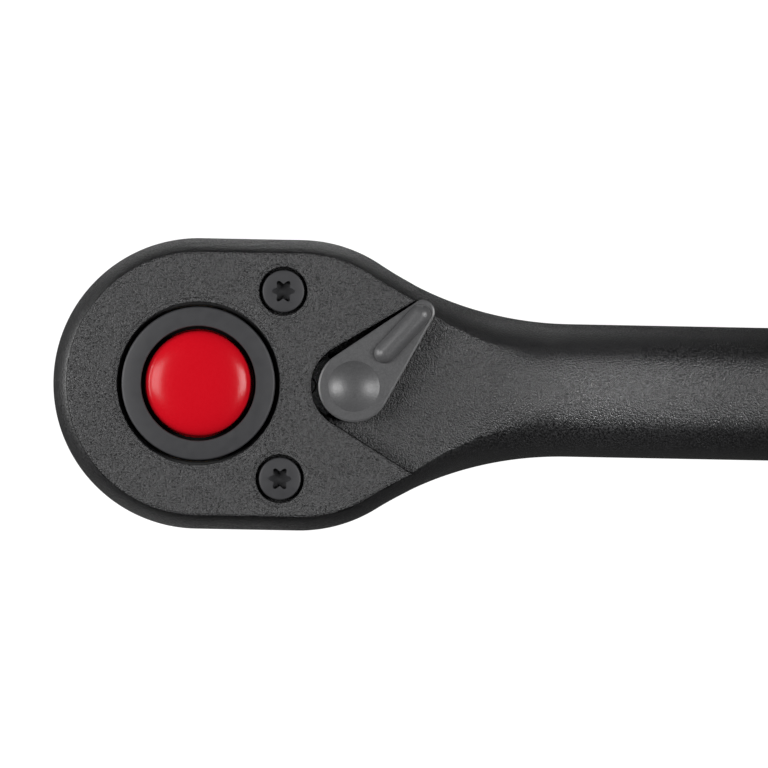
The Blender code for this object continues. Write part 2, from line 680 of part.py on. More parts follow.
def make_screw(cover, side, x, y):
    """One cover screw, its counterbore in the cover and its threaded insert in the body."""
    bore = SCREW_HEAD_RADIUS + COUNTERBORE_GAP
    hole = SCREW_SHANK_RADIUS + FIT_GAP
    counterbore = [
        (0.0, COVER_TOP_Z + OVERCUT),
        (bore + COUNTERBORE_CHAMFER + OVERCUT, COVER_TOP_Z + OVERCUT),
        (bore, COVER_TOP_Z - COUNTERBORE_CHAMFER),
        (bore, SCREW_SEAT_Z),
        (hole, SCREW_SEAT_Z),
        (hole, COVER_LOW_Z - OVERCUT),
        (0.0, COVER_LOW_Z - OVERCUT),
    ]
    cutter = turned("cut_counterbore_" + side, counterbore, steps=FINE_ROUND)
    cutter.location = (x, y, 0.0)
    cut(cover, cutter)
    under_head = SCREW_SEAT_Z + RUNNING_GAP
    shape = [
        (0.0, SCREW_HEAD_Z),
        (SCREW_HEAD_RADIUS - EDGE, SCREW_HEAD_Z),
        (SCREW_HEAD_RADIUS, SCREW_HEAD_Z - EDGE),
        (SCREW_HEAD_RADIUS, under_head),
        (SCREW_SHANK_RADIUS, under_head),
        (SCREW_SHANK_RADIUS, SCREW_TIP_Z + SCREW_SHANK_RADIUS),
        (0.6 * SCREW_SHANK_RADIUS, SCREW_TIP_Z),
        (0.0, SCREW_TIP_Z),
    ]
    screw = turned("cover_screw_" + side, shape, BLACK_STEEL, steps=FINE_ROUND)
    screw.location = (x, y, 0.0)
    cut(screw, screw_recess("cut_recess_" + side, x, y))
    low = SCREW_TIP_Z + FIT_GAP
    sleeve = [
        (INSERT_INNER, INSERT_TOP_Z),
        (INSERT_RADIUS, INSERT_TOP_Z),
        (INSERT_RADIUS, low),
        (INSERT_INNER, low),
    ]
    insert = turned("screw_insert_" + side, sleeve, BRASS, ring=True, steps=FINE_ROUND)
    insert.location = (x, y, 0.0)


# Drive gear and quick release

def gear_outline(clearance):
    """The toothed outline, with a tooth on the X axis, grown by a clearance."""
    pitch = 2.0 * math.pi / GEAR_TEETH
    root = GEAR_TIP_RADIUS - TOOTH_DEPTH + clearance
    tip = GEAR_TIP_RADIUS + clearance
    grow = 0.75 * clearance / GEAR_TIP_RADIUS
    half_tip = 0.5 * TOOTH_TIP_SHARE * pitch + grow
    half_root = 0.5 * (1.0 - TOOTH_ROOT_SHARE) * pitch + grow
    outline = []
    for tooth in range(GEAR_TEETH):
        middle = tooth * pitch
        for offset, radius in ((-half_root, root), (-half_tip, tip), (half_tip, tip), (half_root, root)):
            angle = middle + offset
            outline.append((radius * math.cos(angle), radius * math.sin(angle)))
    return outline


BALL_X = 0.5 * SQUARE_SIDE + BALL_PROUD - BALL_RADIUS
RAMP_ANGLE = math.atan(RELEASE_RAMP)
RAMP_REACH = BALL_RADIUS + MESH_GAP
RAMP_X = BALL_X - RAMP_REACH * math.cos(RAMP_ANGLE)
RAMP_Z = BALL_HEIGHT - RAMP_REACH * math.sin(RAMP_ANGLE)
ROD_TIP_RADIUS = RAMP_X + 0.2 * MESH_GAP
ROD_BORE = ROD_TIP_RADIUS + RUNNING_GAP
ROD_WAIST_RADIUS = ROD_TIP_RADIUS - RELEASE_RAMP * (BUTTON_TRAVEL + SEAT_GAP)
ROD_RADIUS = ROD_TIP_RADIUS - SEAT_GAP
BUTTON_RIM_Z = COVER_TOP_Z - BUTTON_RIM_DROP
BUTTON_LOW_Z = COVER_TOP_Z - BUTTON_DEPTH
BUTTON_BORE_Z = BUTTON_LOW_Z - BUTTON_TRAVEL - 2.0 * RUNNING_GAP
SNAP_HEIGHT = 0.8 * MM
SNAP_TOP_Z = BUTTON_RIM_Z - SNAP_DROP
SNAP_LOW_Z = SNAP_TOP_Z - SNAP_HEIGHT
FLANGE_TOP_Z = SNAP_LOW_Z - RUNNING_GAP
FLANGE_HEIGHT = 1.3 * MM
FLANGE_RADIUS = BUTTON_BORE - RUNNING_GAP
SPRING_SEAT_Z = BUTTON_BORE_Z - RELEASE_SPRING_DEPTH
SPRING_RADIUS = ROD_RADIUS + 3.0 * RUNNING_GAP + 0.5 * RELEASE_WIRE
SPRING_BORE = SPRING_RADIUS + 0.5 * RELEASE_WIRE + 2.0 * SEAT_GAP


def square_drive():
    """The square with chamfered edges, as a shape to join to the gear."""
    mesh = bpy.data.meshes.new("add_square_drive")
    bm = bmesh.new()
    top = SQUARE_LENGTH + OVERCUT
    bmesh.ops.create_cube(bm, size=1.0)
    bmesh.ops.scale(bm, verts=bm.verts, vec=(SQUARE_SIDE, SQUARE_SIDE, top))
    bmesh.ops.translate(bm, verts=bm.verts, vec=(0.0, 0.0, 0.5 * top))
    lower_or_upright = [
        edge for edge in bm.edges
        if min(vert.co.z for vert in edge.verts) < SQUARE_CHAMFER
    ]
    bmesh.ops.bevel(
        bm, geom=lower_or_upright, offset=SQUARE_CHAMFER, segments=1, profile=0.5, affect="EDGES"
    )
    bm.to_mesh(mesh)
    bm.free()
    return place("add_square_drive", mesh)


def make_drive_gear():
    gear = prism("drive_gear", gear_outline(0.0), GEAR_LOW_Z, GEAR_TOP_Z, BLACK_STEEL)
    journals = [
        (0.0, COVER_TOP_Z),
        (JOURNAL_RADIUS - EDGE, COVER_TOP_Z),
        (JOURNAL_RADIUS, COVER_TOP_Z - EDGE),
        (JOURNAL_RADIUS, GEAR_LOW_Z + MM),
        (LOWER_JOURNAL_RADIUS, GEAR_LOW_Z + MM),
        (LOWER_JOURNAL_RADIUS, SQUARE_LENGTH + EDGE),
        (LOWER_JOURNAL_RADIUS - EDGE, SQUARE_LENGTH),
        (0.0, SQUARE_LENGTH),
    ]
    fuse(gear, turned("add_journals", journals), square_drive())
    groove = BUTTON_BORE + SNAP_GROOVE_DEPTH
    bore = [
        (0.0, COVER_TOP_Z + OVERCUT),
        (BUTTON_BORE, COVER_TOP_Z + OVERCUT),
        (BUTTON_BORE, SNAP_TOP_Z + SEAT_GAP),
        (groove, SNAP_TOP_Z + SEAT_GAP),
        (groove, SNAP_LOW_Z - SEAT_GAP),
        (BUTTON_BORE, SNAP_LOW_Z - SEAT_GAP),
        (BUTTON_BORE, BUTTON_BORE_Z),
        (SPRING_BORE, BUTTON_BORE_Z),
        (SPRING_BORE, SPRING_SEAT_Z),
        (ROD_BORE, SPRING_SEAT_Z),
        (ROD_BORE, ROD_BORE_FLOOR),
        (0.0, ROD_BORE_FLOOR),
    ]
    outside = 0.5 * SQUARE_SIDE + 0.2 * RUNNING_GAP
    ball_hole = [
        (0.0, outside),
        (BALL_RADIUS - BALL_LIP, outside),
        (BALL_RADIUS + BALL_CLEARANCE, outside - 2.0 * MM),
        (BALL_RADIUS + BALL_CLEARANCE, 0.5 * ROD_BORE),
        (0.0, 0.5 * ROD_BORE),
    ]
    ball_cutter = turned("cut_ball_hole", ball_hole)
    ball_cutter.location = (0.0, 0.0, BALL_HEIGHT)
    ball_cutter.rotation_euler = (0.0, 0.5 * math.pi, 0.0)
    cut(gear, turned("cut_gear_bores", bore), ball_cutter)
    sphere("socket_ball", BALL_RADIUS, (BALL_X, 0.0, BALL_HEIGHT), BRIGHT_STEEL)
    snap_outer = groove - RUNNING_GAP
    snap_inner = BUTTON_RADIUS + RUNNING_GAP
    opening = math.radians(25.0)
    snap = arc(0.0, 0.0, snap_outer, opening, 2.0 * math.pi - opening, ROUND)
    snap += arc(0.0, 0.0, snap_inner, 2.0 * math.pi - opening, opening, ROUND)
    prism("button_snap_ring", snap, SNAP_LOW_Z, SNAP_TOP_Z, BLACK_STEEL)


def make_quick_release():
    rod_top = BUTTON_LOW_Z + ROD_IN_BUTTON
    socket = ROD_RADIUS + SEAT_GAP
    button = [(0.0, BUTTON_RIM_Z + BUTTON_DOME)]
    for degrees in (72.0, 54.0, 36.0, 18.0, 0.0):
        angle = math.radians(degrees)
        radius = BUTTON_RADIUS * math.cos(angle) ** BUTTON_FULLNESS
        button.append((radius, BUTTON_RIM_Z + BUTTON_DOME * math.sin(angle) ** BUTTON_FULLNESS))
    button += [
        (BUTTON_RADIUS, FLANGE_TOP_Z),
        (FLANGE_RADIUS, FLANGE_TOP_Z),
        (FLANGE_RADIUS, FLANGE_TOP_Z - FLANGE_HEIGHT),
        (BUTTON_RADIUS, FLANGE_TOP_Z - FLANGE_HEIGHT),
        (BUTTON_RADIUS, BUTTON_LOW_Z),
        (socket, BUTTON_LOW_Z),
        (socket, rod_top + SEAT_GAP),
        (0.0, rod_top + SEAT_GAP),
    ]
    turned("release_button", button, RED_PLASTIC)
    ramp_top = RAMP_Z + BUTTON_TRAVEL + 0.5 * SEAT_GAP
    waist_top = BALL_HEIGHT + BUTTON_TRAVEL + ROD_WAIST_RADIUS
    rod_tip = ROD_BORE_FLOOR + BUTTON_TRAVEL + 2.0 * SEAT_GAP
    rod = [
        (0.0, rod_top),
        (ROD_RADIUS, rod_top),
        (ROD_RADIUS, waist_top + ROD_RADIUS - ROD_WAIST_RADIUS),
        (ROD_WAIST_RADIUS, waist_top),
        (ROD_WAIST_RADIUS, ramp_top),
        (ROD_TIP_RADIUS, ramp_top - (ROD_TIP_RADIUS - ROD_WAIST_RADIUS) / RELEASE_RAMP),
        (ROD_TIP_RADIUS, rod_tip),
        (0.0, rod_tip),
    ]
    turned("release_rod", rod, BRIGHT_STEEL, steps=FINE_ROUND)
    clear = 0.5 * RELEASE_WIRE + FIT_GAP
    coil = helix(SPRING_RADIUS, SPRING_SEAT_Z + clear, BUTTON_LOW_Z - clear, RELEASE_TURNS)
    print_turn_gap("release_spring", coil, RELEASE_WIRE)
    tube("release_spring", coil, 0.5 * RELEASE_WIRE, SPRING_STEEL)


# Pawl

def make_pawl():
    """A rocker with teeth at both ends, which the drive gear itself cuts at both limits."""
    half_swing = 0.5 * PAWL_SWING
    axis = pivot("pawl_axis", PAWL_X, -half_swing)
    relief = GEAR_TIP_RADIUS + PAWL_FRONT_GAP
    inside = GEAR_TIP_RADIUS - TOOTH_DEPTH - FIT_GAP
    cradle = math.radians(50.0)
    half = arc(-PAWL_X, 0.0, relief, 0.0, PAWL_TOOTH_START, 5)
    half += arc(-PAWL_X, 0.0, inside, PAWL_TOOTH_START, PAWL_TOOTH_END, 3)
    half += arc(-PAWL_X, 0.0, PAWL_TIP, PAWL_TOOTH_END, PAWL_TOOTH_END, 1)[1:]
    half += arc(LEVER_X - PAWL_X, 0.0, CRADLE_RADIUS, math.pi - cradle, math.pi, 8)
    low = GEAR_LOW_Z + FIT_GAP
    high = GEAR_TOP_Z - SEAT_GAP
    pawl = prism("pawl", closed(half), low, high, BRIGHT_STEEL, axis)
    for name, turn in (("cut_lower_teeth", half_swing), ("cut_upper_teeth", -half_swing)):
        teeth = prism(name, gear_outline(MESH_GAP), low - OVERCUT, high + OVERCUT, parent=axis)
        teeth.location = (-PAWL_X * math.cos(turn), -PAWL_X * math.sin(turn), 0.0)
        teeth.rotation_euler = (0.0, 0.0, turn)
        cut(pawl, teeth)
    low -= OVERCUT
    high += OVERCUT
    cut(pawl, cylinder("cut_pawl_hole", PAWL_HOLE, low, high, parent=axis, steps=FINE_ROUND))


# Reversing lever

def make_lever():
    axis = pivot("lever_axis", LEVER_X, LEVER_REST)
    taper = math.asin((LEVER_HUB_RADIUS - LEVER_TIP_RADIUS) / LEVER_LENGTH)
    square = 0.5 * math.pi
    outline = arc(LEVER_LENGTH, 0.0, LEVER_TIP_RADIUS, taper - square, square - taper, 8)
    outline += arc(0.0, 0.0, LEVER_HUB_RADIUS, square - taper, 3.0 * square + taper, 30)
    lever = prism("reversing_lever", outline, LEVER_LOW_Z, LEVER_TOP_Z, GREY_PLASTIC, axis)
    rounded = lever.modifiers.new("Edges", "BEVEL")
    rounded.width = EDGE
    rounded.segments = 1
    rounded.limit_method = "ANGLE"
    rounded.angle_limit = math.radians(60.0)
    shaft_end = CLIP_RECESS_Z + FIT_GAP
    shaft = [
        (0.0, LEVER_LOW_Z + OVERCUT),
        (LEVER_SHAFT_RADIUS, LEVER_LOW_Z + OVERCUT),
        (LEVER_SHAFT_RADIUS, CLIP_HIGH_Z),
        (CLIP_NECK, CLIP_HIGH_Z),
        (CLIP_NECK, CLIP_LOW_Z),
        (LEVER_SHAFT_RADIUS - EDGE, CLIP_LOW_Z),
        (LEVER_SHAFT_RADIUS - EDGE, shaft_end),
        (0.0, shaft_end),
    ]
    fuse(lever, turned("add_lever_shaft", shaft, parent=axis), lever_rib(axis))
    dish_sphere = (DISH_RADIUS ** 2 + DISH_DEPTH ** 2) / (2.0 * DISH_DEPTH)
    dish_z = LEVER_TOP_Z - DISH_DEPTH + dish_sphere
    bore_radius = PLUNGER_RADIUS + SEAT_GAP
    bore_length = 2.0 * CRADLE_RADIUS
    bore = cylinder("cut_plunger_bore", bore_radius, 0.0, bore_length, parent=axis, steps=FINE_ROUND)
    bore.location = (PLUNGER_BORE_END, 0.0, PLUNGER_Z)
    bore.rotation_euler = (0.0, -square, 0.0)
    cut(lever, sphere("cut_dish", dish_sphere, (0.0, 0.0, dish_z), parent=axis), bore)
    make_lever_fittings(axis)


def lever_rib(axis):
    """The thumb rib along the lever, a bar with round ends."""
    length = RIB_END - RIB_START
    sides = 5
    top = arc(0.0, length - RIB_RADIUS, RIB_RADIUS, 0.5 * math.pi, 0.0, sides)
    base = arc(0.0, RIB_RADIUS, RIB_RADIUS, 0.0, -0.5 * math.pi, sides)
    profile = [(max(radius, 0.0), height) for radius, height in top + base]
    rib = turned("add_lever_rib", profile, parent=axis, steps=FINE_ROUND)
    rib.location = (RIB_START, 0.0, LEVER_TOP_Z - SEAT_GAP)
    rib.rotation_euler = (0.0, 0.5 * math.pi, 0.0)
    return rib


def make_lever_fittings(axis):
    """The circlip, the seal, the spring plunger and its spring."""
    opening = math.radians(40.0)
    clip = arc(0.0, 0.0, CLIP_RADIUS, opening, 2.0 * math.pi - opening, FINE_ROUND)
    clip += arc(0.0, 0.0, CLIP_NECK + SEAT_GAP, 2.0 * math.pi - opening, opening, FINE_ROUND)
    prism("lever_circlip", clip, CLIP_LOW_Z + SEAT_GAP, CLIP_HIGH_Z - SEAT_GAP, SPRING_STEEL, axis)
    seal_radius = LEVER_SHAFT_RADIUS + MESH_GAP + LEVER_SEAL_WIRE_RADIUS
    seal_z = HOUSING_TOP_Z + SEAT_GAP + LEVER_SEAL_WIRE_RADIUS
    seal = o_ring("lever_seal", seal_radius, LEVER_SEAL_WIRE_RADIUS, seal_z, RUBBER)
    seal.location.x = LEVER_X
    nose = LEVER_SHAFT_RADIUS + PLUNGER_PROUD
    profile = arc(0.0, nose - PLUNGER_RADIUS, PLUNGER_RADIUS, 0.5 * math.pi, 0.0, 4)
    profile = [(max(radius, 0.0), height) for radius, height in profile]
    profile += [(PLUNGER_RADIUS, PLUNGER_TAIL), (0.0, PLUNGER_TAIL)]
    plunger = turned("pawl_plunger", profile, BRIGHT_STEEL, axis, steps=FINE_ROUND)
    plunger.location = (0.0, 0.0, PLUNGER_Z)
    plunger.rotation_euler = (0.0, -0.5 * math.pi, 0.0)
    clear = 0.5 * PAWL_WIRE + SEAT_GAP
    coil_radius = PLUNGER_RADIUS - 0.5 * PAWL_WIRE - 0.5 * SEAT_GAP
    coil = helix(coil_radius, clear - PLUNGER_BORE_END, PLUNGER_TAIL - clear, PAWL_SPRING_TURNS)
    print_turn_gap("pawl_spring", coil, PAWL_WIRE)
    spring = tube("pawl_spring", coil, 0.5 * PAWL_WIRE, SPRING_STEEL, axis)
    spring.location = (0.0, 0.0, PLUNGER_Z)
    spring.rotation_euler = (0.0, -0.5 * math.pi, 0.0)


make_body()
make_housing()
make_cover()
make_drive_gear()
make_quick_release()
make_pawl()
make_lever()
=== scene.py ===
# %% [markdown]
# # A ratchet handle, seen from above
#
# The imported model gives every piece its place: the drive axis is Z, the square's end face is at
# Z = 0 and the handle runs along +X. This lesson rebuilds the pieces that show, finer than the
# model that moves and collides, and gives each one the finish that it has in the photograph.
# Everything is in metres, so sizes are written as millimetres times MM.

import math

import bmesh
import bpy
from mathutils import Matrix, Vector


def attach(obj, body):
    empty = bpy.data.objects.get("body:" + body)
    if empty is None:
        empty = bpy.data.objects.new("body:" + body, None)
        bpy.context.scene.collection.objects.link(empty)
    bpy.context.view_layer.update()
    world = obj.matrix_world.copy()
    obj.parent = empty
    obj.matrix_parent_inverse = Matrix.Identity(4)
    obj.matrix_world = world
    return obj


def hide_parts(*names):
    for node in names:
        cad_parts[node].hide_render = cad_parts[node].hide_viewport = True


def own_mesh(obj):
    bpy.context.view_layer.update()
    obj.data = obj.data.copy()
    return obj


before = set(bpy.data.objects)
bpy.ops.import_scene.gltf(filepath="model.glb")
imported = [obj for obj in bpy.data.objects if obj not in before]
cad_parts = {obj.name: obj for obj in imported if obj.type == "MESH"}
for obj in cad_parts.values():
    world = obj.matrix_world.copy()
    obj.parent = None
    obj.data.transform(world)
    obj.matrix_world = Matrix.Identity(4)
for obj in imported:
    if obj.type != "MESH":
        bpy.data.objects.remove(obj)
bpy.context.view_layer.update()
MM = 0.001

# %% [markdown]
# ## One way to add a node
#
# A material is a small graph. One function adds a node, sets its properties and fills its
# sockets, from a plain value or from another node's output. Two more name the kinds used most:
# a sum or product, and a change of range. Colours are written as they look on a screen, and one
# function turns them into the linear values that Blender mixes.

# %% Nodes and colours
def linear(hex_colour):
    """A screen colour such as "3a3a3b" as linear red, green, blue and alpha."""
    channels = []
    for start in (0, 2, 4):
        value = int(hex_colour[start:start + 2], 16) / 255.0
        channels.append(value / 12.92 if value <= 0.04045 else ((value + 0.055) / 1.055) ** 2.4)
    return (*channels, 1.0)


def add(tree, kind, inputs=None, **settings):
    """Add a node, with its properties and its sockets filled by values or links."""
    node = tree.nodes.new("ShaderNode" + kind)
    for key, value in settings.items():
        setattr(node, key, value)
    for key, value in (inputs or {}).items():
        if isinstance(value, bpy.types.NodeSocket):
            tree.links.new(value, node.inputs[key])
        else:
            node.inputs[key].default_value = value
    return node


def maths(tree, operation, first, second):
    """Two values brought together by a Math node, as an output."""
    return add(tree, "Math", {0: first, 1: second}, operation=operation).outputs[0]


def remap(tree, value, low, high, new_low=0.0, new_high=1.0):
    """A value moved from one range to another, as an output."""
    old_range = {"From Min": low, "From Max": high}
    new_range = {"To Min": new_low, "To Max": new_high}
    return add(tree, "MapRange", {"Value": value, **old_range, **new_range}).outputs["Result"]


def start_material(name):
    """A new material, its node tree, its shader and the Object coordinates."""
    material = bpy.data.materials.new(name)
    material.use_nodes = True
    tree = material.node_tree
    place = add(tree, "TexCoord").outputs["Object"]
    return material, tree, tree.nodes["Principled BSDF"], place


print("a mid grey of 808080 is", round(linear("808080")[0], 3), "in linear light")

# %% [markdown]
# ## Glass-fibre composite, spark-eroded
#
# The head, the handle and the cover are moulded from black nylon filled with glass fibre. The
# mould was spark-eroded, which leaves a fine pebbled skin: to the eye it is a dark grey that
# sparkles a little. The real grains are finer than a pixel, so they are drawn about as coarse as
# they show, a quarter of a millimetre. One noise lifts the pebbles, mottles the colour and makes
# the shine uneven. On steep sides, where a mould is drawn off, the pebbles are flatter, and the
# colour is also painted darker there as painted shade, so the sides look blacker.

# %% Composite finishes
PLASTIC_IOR = 1.53
PEBBLE_LOW, PEBBLE_HIGH = 0.35, 0.65
NOISE_LOW, NOISE_HIGH = 0.3, 0.7
SIDE_FACING, TOP_FACING = 0.84, 0.97


def grained(
    name, dark, light, grain_mm, depth_mm, roughness, uneven=0.07, side_grain_and_shade=1.0, shine=0.5
):
    """A moulded plastic with a pebbled skin, which may be flatter on steep sides and painted
    darker there as shade.
    """
    material, tree, shader, place = start_material(name)
    grain = {"Vector": place, "Scale": 1.0 / (grain_mm * MM), "Detail": 1.0}
    pebbles = add(tree, "TexNoise", grain).outputs["Fac"]
    facing = add(tree, "SeparateXYZ", {0: add(tree, "TexCoord").outputs["Normal"]}).outputs["Z"]
    # On steep sides this mask flattens the pebbles and pulls the colour towards the dark one:
    # painted shade.
    grain_and_side_shade = remap(tree, facing, SIDE_FACING, TOP_FACING, side_grain_and_shade)
    spread = remap(tree, pebbles, PEBBLE_LOW, PEBBLE_HIGH)
    mottle_and_side_shade = maths(tree, "MULTIPLY", spread, grain_and_side_shade)
    mixed = {"Factor": mottle_and_side_shade, 6: linear(dark), 7: linear(light)}
    colour = add(tree, "Mix", mixed, data_type="RGBA")
    skin = remap(tree, pebbles, NOISE_LOW, NOISE_HIGH, roughness - uneven, roughness + uneven)
    relief = {"Height": pebbles, "Strength": grain_and_side_shade, "Distance": depth_mm * MM}
    bump = add(tree, "Bump", relief)
    tree.links.new(colour.outputs[2], shader.inputs["Base Color"])
    tree.links.new(skin, shader.inputs["Roughness"])
    tree.links.new(bump.outputs["Normal"], shader.inputs["Normal"])
    shader.inputs["IOR"].default_value = PLASTIC_IOR
    shader.inputs["Specular IOR Level"].default_value = shine
    print(name, "grain", grain_mm, "mm")
    return material


composite = grained(
    "glass_fibre_nylon_moulded",
    "050506",
    "353536",
    grain_mm=0.26,
    depth_mm=0.27,
    roughness=0.46,
    uneven=0.15,
    # The moulding's steep sides get flatter pebbles and a colour painted darker as shade.
    side_grain_and_shade=0.3,
    shine=0.6,
)
cover_composite = grained(
    "glass_fibre_nylon_cover",
    "050506",
    "39393a",
    grain_mm=0.26,
    depth_mm=0.29,
    roughness=0.49,
    uneven=0.15,
    shine=0.54,
)

# %% [markdown]
# ## Plastics of the lever and the button
#
# The lever is a satin grey acetal moulding with the same kind of skin, only much finer. The
# button is a red one with a smoother face, so its highlights keep soft edges.

# %% Lever and button finishes
lever_plastic = grained(
    "grey_acetal_moulded", "49494a", "4f4f50", grain_mm=0.22, depth_mm=0.02, roughness=0.39
)
button_plastic = grained(
    "red_acetal_moulded",
    "b70b19",
    "b90d1b",
    grain_mm=0.3,
    depth_mm=0.004,
    roughness=0.23,
    uneven=0.02,
    shine=0.18,
)

# %% [markdown]
# ## Metals
#
# The gear and the screws are blackened steel: dark, slightly metallic and satin. The hidden
# pieces are ground steel, drawn wire, sintered bronze and turned brass. A ground or turned
# metal shows fine marks, which a stretched noise in the roughness gives.

# %% Metal and rubber finishes
MARK_STRETCH = (0.15, 0.15, 1.0)
MARK_SWING = 0.05


def metal(name, colour, roughness, metallic, mark_mm, shine=0.5):
    """A metal whose fine machining marks show as a change of roughness."""
    material, tree, shader, place = start_material(name)
    stretched = add(tree, "Mapping", {"Vector": place, "Scale": MARK_STRETCH}).outputs["Vector"]
    marks = add(tree, "TexNoise", {"Vector": stretched, "Scale": 1.0 / (mark_mm * MM)})
    smooth, rough = roughness - MARK_SWING, roughness + MARK_SWING
    skin = remap(tree, marks.outputs["Fac"], NOISE_LOW, NOISE_HIGH, smooth, rough)
    tree.links.new(skin, shader.inputs["Roughness"])
    shader.inputs["Base Color"].default_value = linear(colour)
    shader.inputs["Metallic"].default_value = metallic
    shader.inputs["Specular IOR Level"].default_value = shine
    print(name, "marks", mark_mm, "mm")
    return material


black_steel = metal("blackened_steel", "343436", roughness=0.48, metallic=0.15, mark_mm=0.2)
# Phosphated steel is dark in itself; this finish is also made nearly black and dull as painted
# shade, where the housing and the snap ring show through gaps.
dark_steel_and_gap_shade = metal(
    "phosphated_steel_and_gap_shade", "0c0c0c", roughness=0.75, metallic=0.0, mark_mm=0.2, shine=0.15
)
bright_steel = metal("ground_steel", "b9bbbd", roughness=0.28, metallic=1.0, mark_mm=0.15)
spring_steel = metal("drawn_spring_steel", "a3a4a6", roughness=0.33, metallic=1.0, mark_mm=0.1)
bronze = metal("sintered_bronze", "b48f5f", roughness=0.5, metallic=1.0, mark_mm=0.25)
brass = metal("turned_brass", "cbb06a", roughness=0.34, metallic=1.0, mark_mm=0.15)
rubber = grained(
    "nitrile_rubber", "1a1a1a", "202020", grain_mm=0.2, depth_mm=0.01, roughness=0.65
)

# %% [markdown]
# ## Finishing a piece
#
# Every rebuilt piece ends the same way: doubles are merged, the faces turned outwards, and an
# edge is kept sharp where its faces meet at more than a given angle. The piece then rides on
# its body and stands for the model's own node.

# %% Finish a piece
WELD = 0.002 * MM
SPECK = 0.001 * MM


def settle(bm, sharp):
    """Merge doubles, turn the faces outwards and mark the sharp edges."""
    bmesh.ops.remove_doubles(bm, verts=bm.verts, dist=WELD)
    bmesh.ops.recalc_face_normals(bm, faces=bm.faces)
    for face in bm.faces:
        face.smooth = True
    for edge in bm.edges:
        edge.smooth = edge.calc_face_angle(0.0) < math.radians(sharp)


def make_piece(name, bm, sharp=25.0):
    """Put a finished bmesh in the scene as an object at the origin."""
    settle(bm, sharp)
    mesh = bpy.data.meshes.new(name)
    bm.to_mesh(mesh)
    bm.free()
    piece = bpy.data.objects.new(name, mesh)
    bpy.context.scene.collection.objects.link(piece)
    return piece


def combine(piece, tool, operation):
    """Join another shape to a piece, or cut it out, and drop the tool."""
    boolean = piece.modifiers.new("combine", "BOOLEAN")
    boolean.operation = operation
    boolean.object = tool
    boolean.solver = "EXACT"
    view = bpy.context.evaluated_depsgraph_get()
    mesh = bpy.data.meshes.new_from_object(piece.evaluated_get(view))
    piece.modifiers.clear()
    piece.data = mesh
    bpy.data.objects.remove(tool)


def mount(piece, body, node, material, sharp=25.0):
    """Give a piece its finish, and let it ride on a body in place of a node."""
    bm = bmesh.new()
    bm.from_mesh(piece.data)
    settle(bm, sharp)
    bm.to_mesh(piece.data)
    bm.free()
    piece.data.materials.clear()
    piece.data.materials.append(material)
    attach(piece, body)
    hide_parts(node)
    size = [round(side / MM, 1) for side in piece.dimensions]
    print(piece.name, len(piece.data.polygons), "faces", size, "mm")


print("points nearer than", round(WELD / MM, 3), "mm are merged")

# %% [markdown]
# ## Turned pieces and stacked outlines
#
# Most of the mechanism is turned, so a half profile is spun about Z. The flat mouldings are
# stacks of one outline at several heights: a row of edges is extruded and its new vertices are
# put on the next outline, which rounds an edge evenly and leaves no overlap at a corner.

# %% Turned shapes
def neighbours(row, ring):
    """Each vertex of a row with the next one, and the last with the first in a ring."""
    pairs = list(zip(row, row[1:]))
    if ring:
        pairs.append((row[-1], row[0]))
    return pairs


def turn(profile, ring=False, steps=96):
    """Spin a profile of radius and height about Z."""
    bm = bmesh.new()
    verts = [bm.verts.new((radius, 0.0, height)) for radius, height in profile]
    edges = [bm.edges.new(pair) for pair in neighbours(verts, ring)]
    bmesh.ops.spin(
        bm,
        geom=verts + edges,
        cent=(0.0, 0.0, 0.0),
        axis=(0.0, 0.0, 1.0),
        angle=2.0 * math.pi,
        steps=steps,
        use_merge=True,
    )
    bmesh.ops.remove_doubles(bm, verts=bm.verts, dist=SPECK)
    return bm


def lay_along_x(bm, spot):
    """Lay a shape that stands on Z along X, and move it to a spot."""
    quarter_turn = Matrix.Rotation(0.5 * math.pi, 3, "Y")
    bmesh.ops.rotate(bm, verts=bm.verts, cent=(0.0, 0.0, 0.0), matrix=quarter_turn)
    bmesh.ops.translate(bm, verts=bm.verts, vec=spot)


print("turned shapes ready")

# %% Rows and stacks
def start_row(bm, spots, ring):
    """A row of vertices joined by edges, closed to a ring or not."""
    row = [bm.verts.new(spot) for spot in spots]
    for pair in neighbours(row, ring):
        bm.edges.new(pair)
    return row


def row_edges(bm, row, ring):
    """The edges along a row."""
    return [bm.edges.get(pair) for pair in neighbours(row, ring)]


def next_row(bm, row, spots, ring):
    """Extrude a row and put its new vertices on the next spots."""
    made = bmesh.ops.extrude_edge_only(bm, edges=row_edges(bm, row, ring))
    fresh = {item for item in made["geom"] if isinstance(item, bmesh.types.BMVert)}
    following = []
    for vert, spot in zip(row, spots):
        twin = next(
            edge.other_vert(vert) for edge in vert.link_edges if edge.other_vert(vert) in fresh
        )
        twin.co = spot
        following.append(twin)
    return following


def stack(bm, outlines):
    """A wall through outlines of the same count, given as points and a height each."""
    first = None
    for points, height in outlines:
        spots = [Vector((x, y, height)) for x, y in points]
        if first is None:
            row = first = start_row(bm, spots, True)
        else:
            row = next_row(bm, row, spots, True)
    return first, row


def fill(bm, rows, up):
    """Fill the flat face between closed rows, the outer one and any holes."""
    edges = [edge for row in rows for edge in row_edges(bm, row, True)]
    bmesh.ops.triangle_fill(bm, edges=edges, use_beauty=True, normal=(0.0, 0.0, up))


print("rows and stacks ready")

# %% Arcs and blends
def arc(x, y, radius, start, end, segments):
    """Points on an arc, both ends included."""
    points = []
    for step in range(segments + 1):
        angle = start + (end - start) * step / segments
        points.append((x + radius * math.cos(angle), y + radius * math.sin(angle)))
    return points


def circle(x, y, radius, segments=72):
    """Points round a circle, once."""
    return arc(x, y, radius, 0.0, 2.0 * math.pi, segments)[:-1]


def closed(half):
    """A closed outline from its half above the X axis."""
    return half + [(x, -y) for x, y in reversed(half[1:-1])]


def between(start, end, share):
    """The value a share of the way from start to end."""
    return start + (end - start) * share


def ease(value):
    """A smooth step from 0 to 1."""
    held = min(max(value, 0.0), 1.0)
    return held * held * (3.0 - 2.0 * held)


print("a circle has", len(circle(0.0, 0.0, MM)), "points")

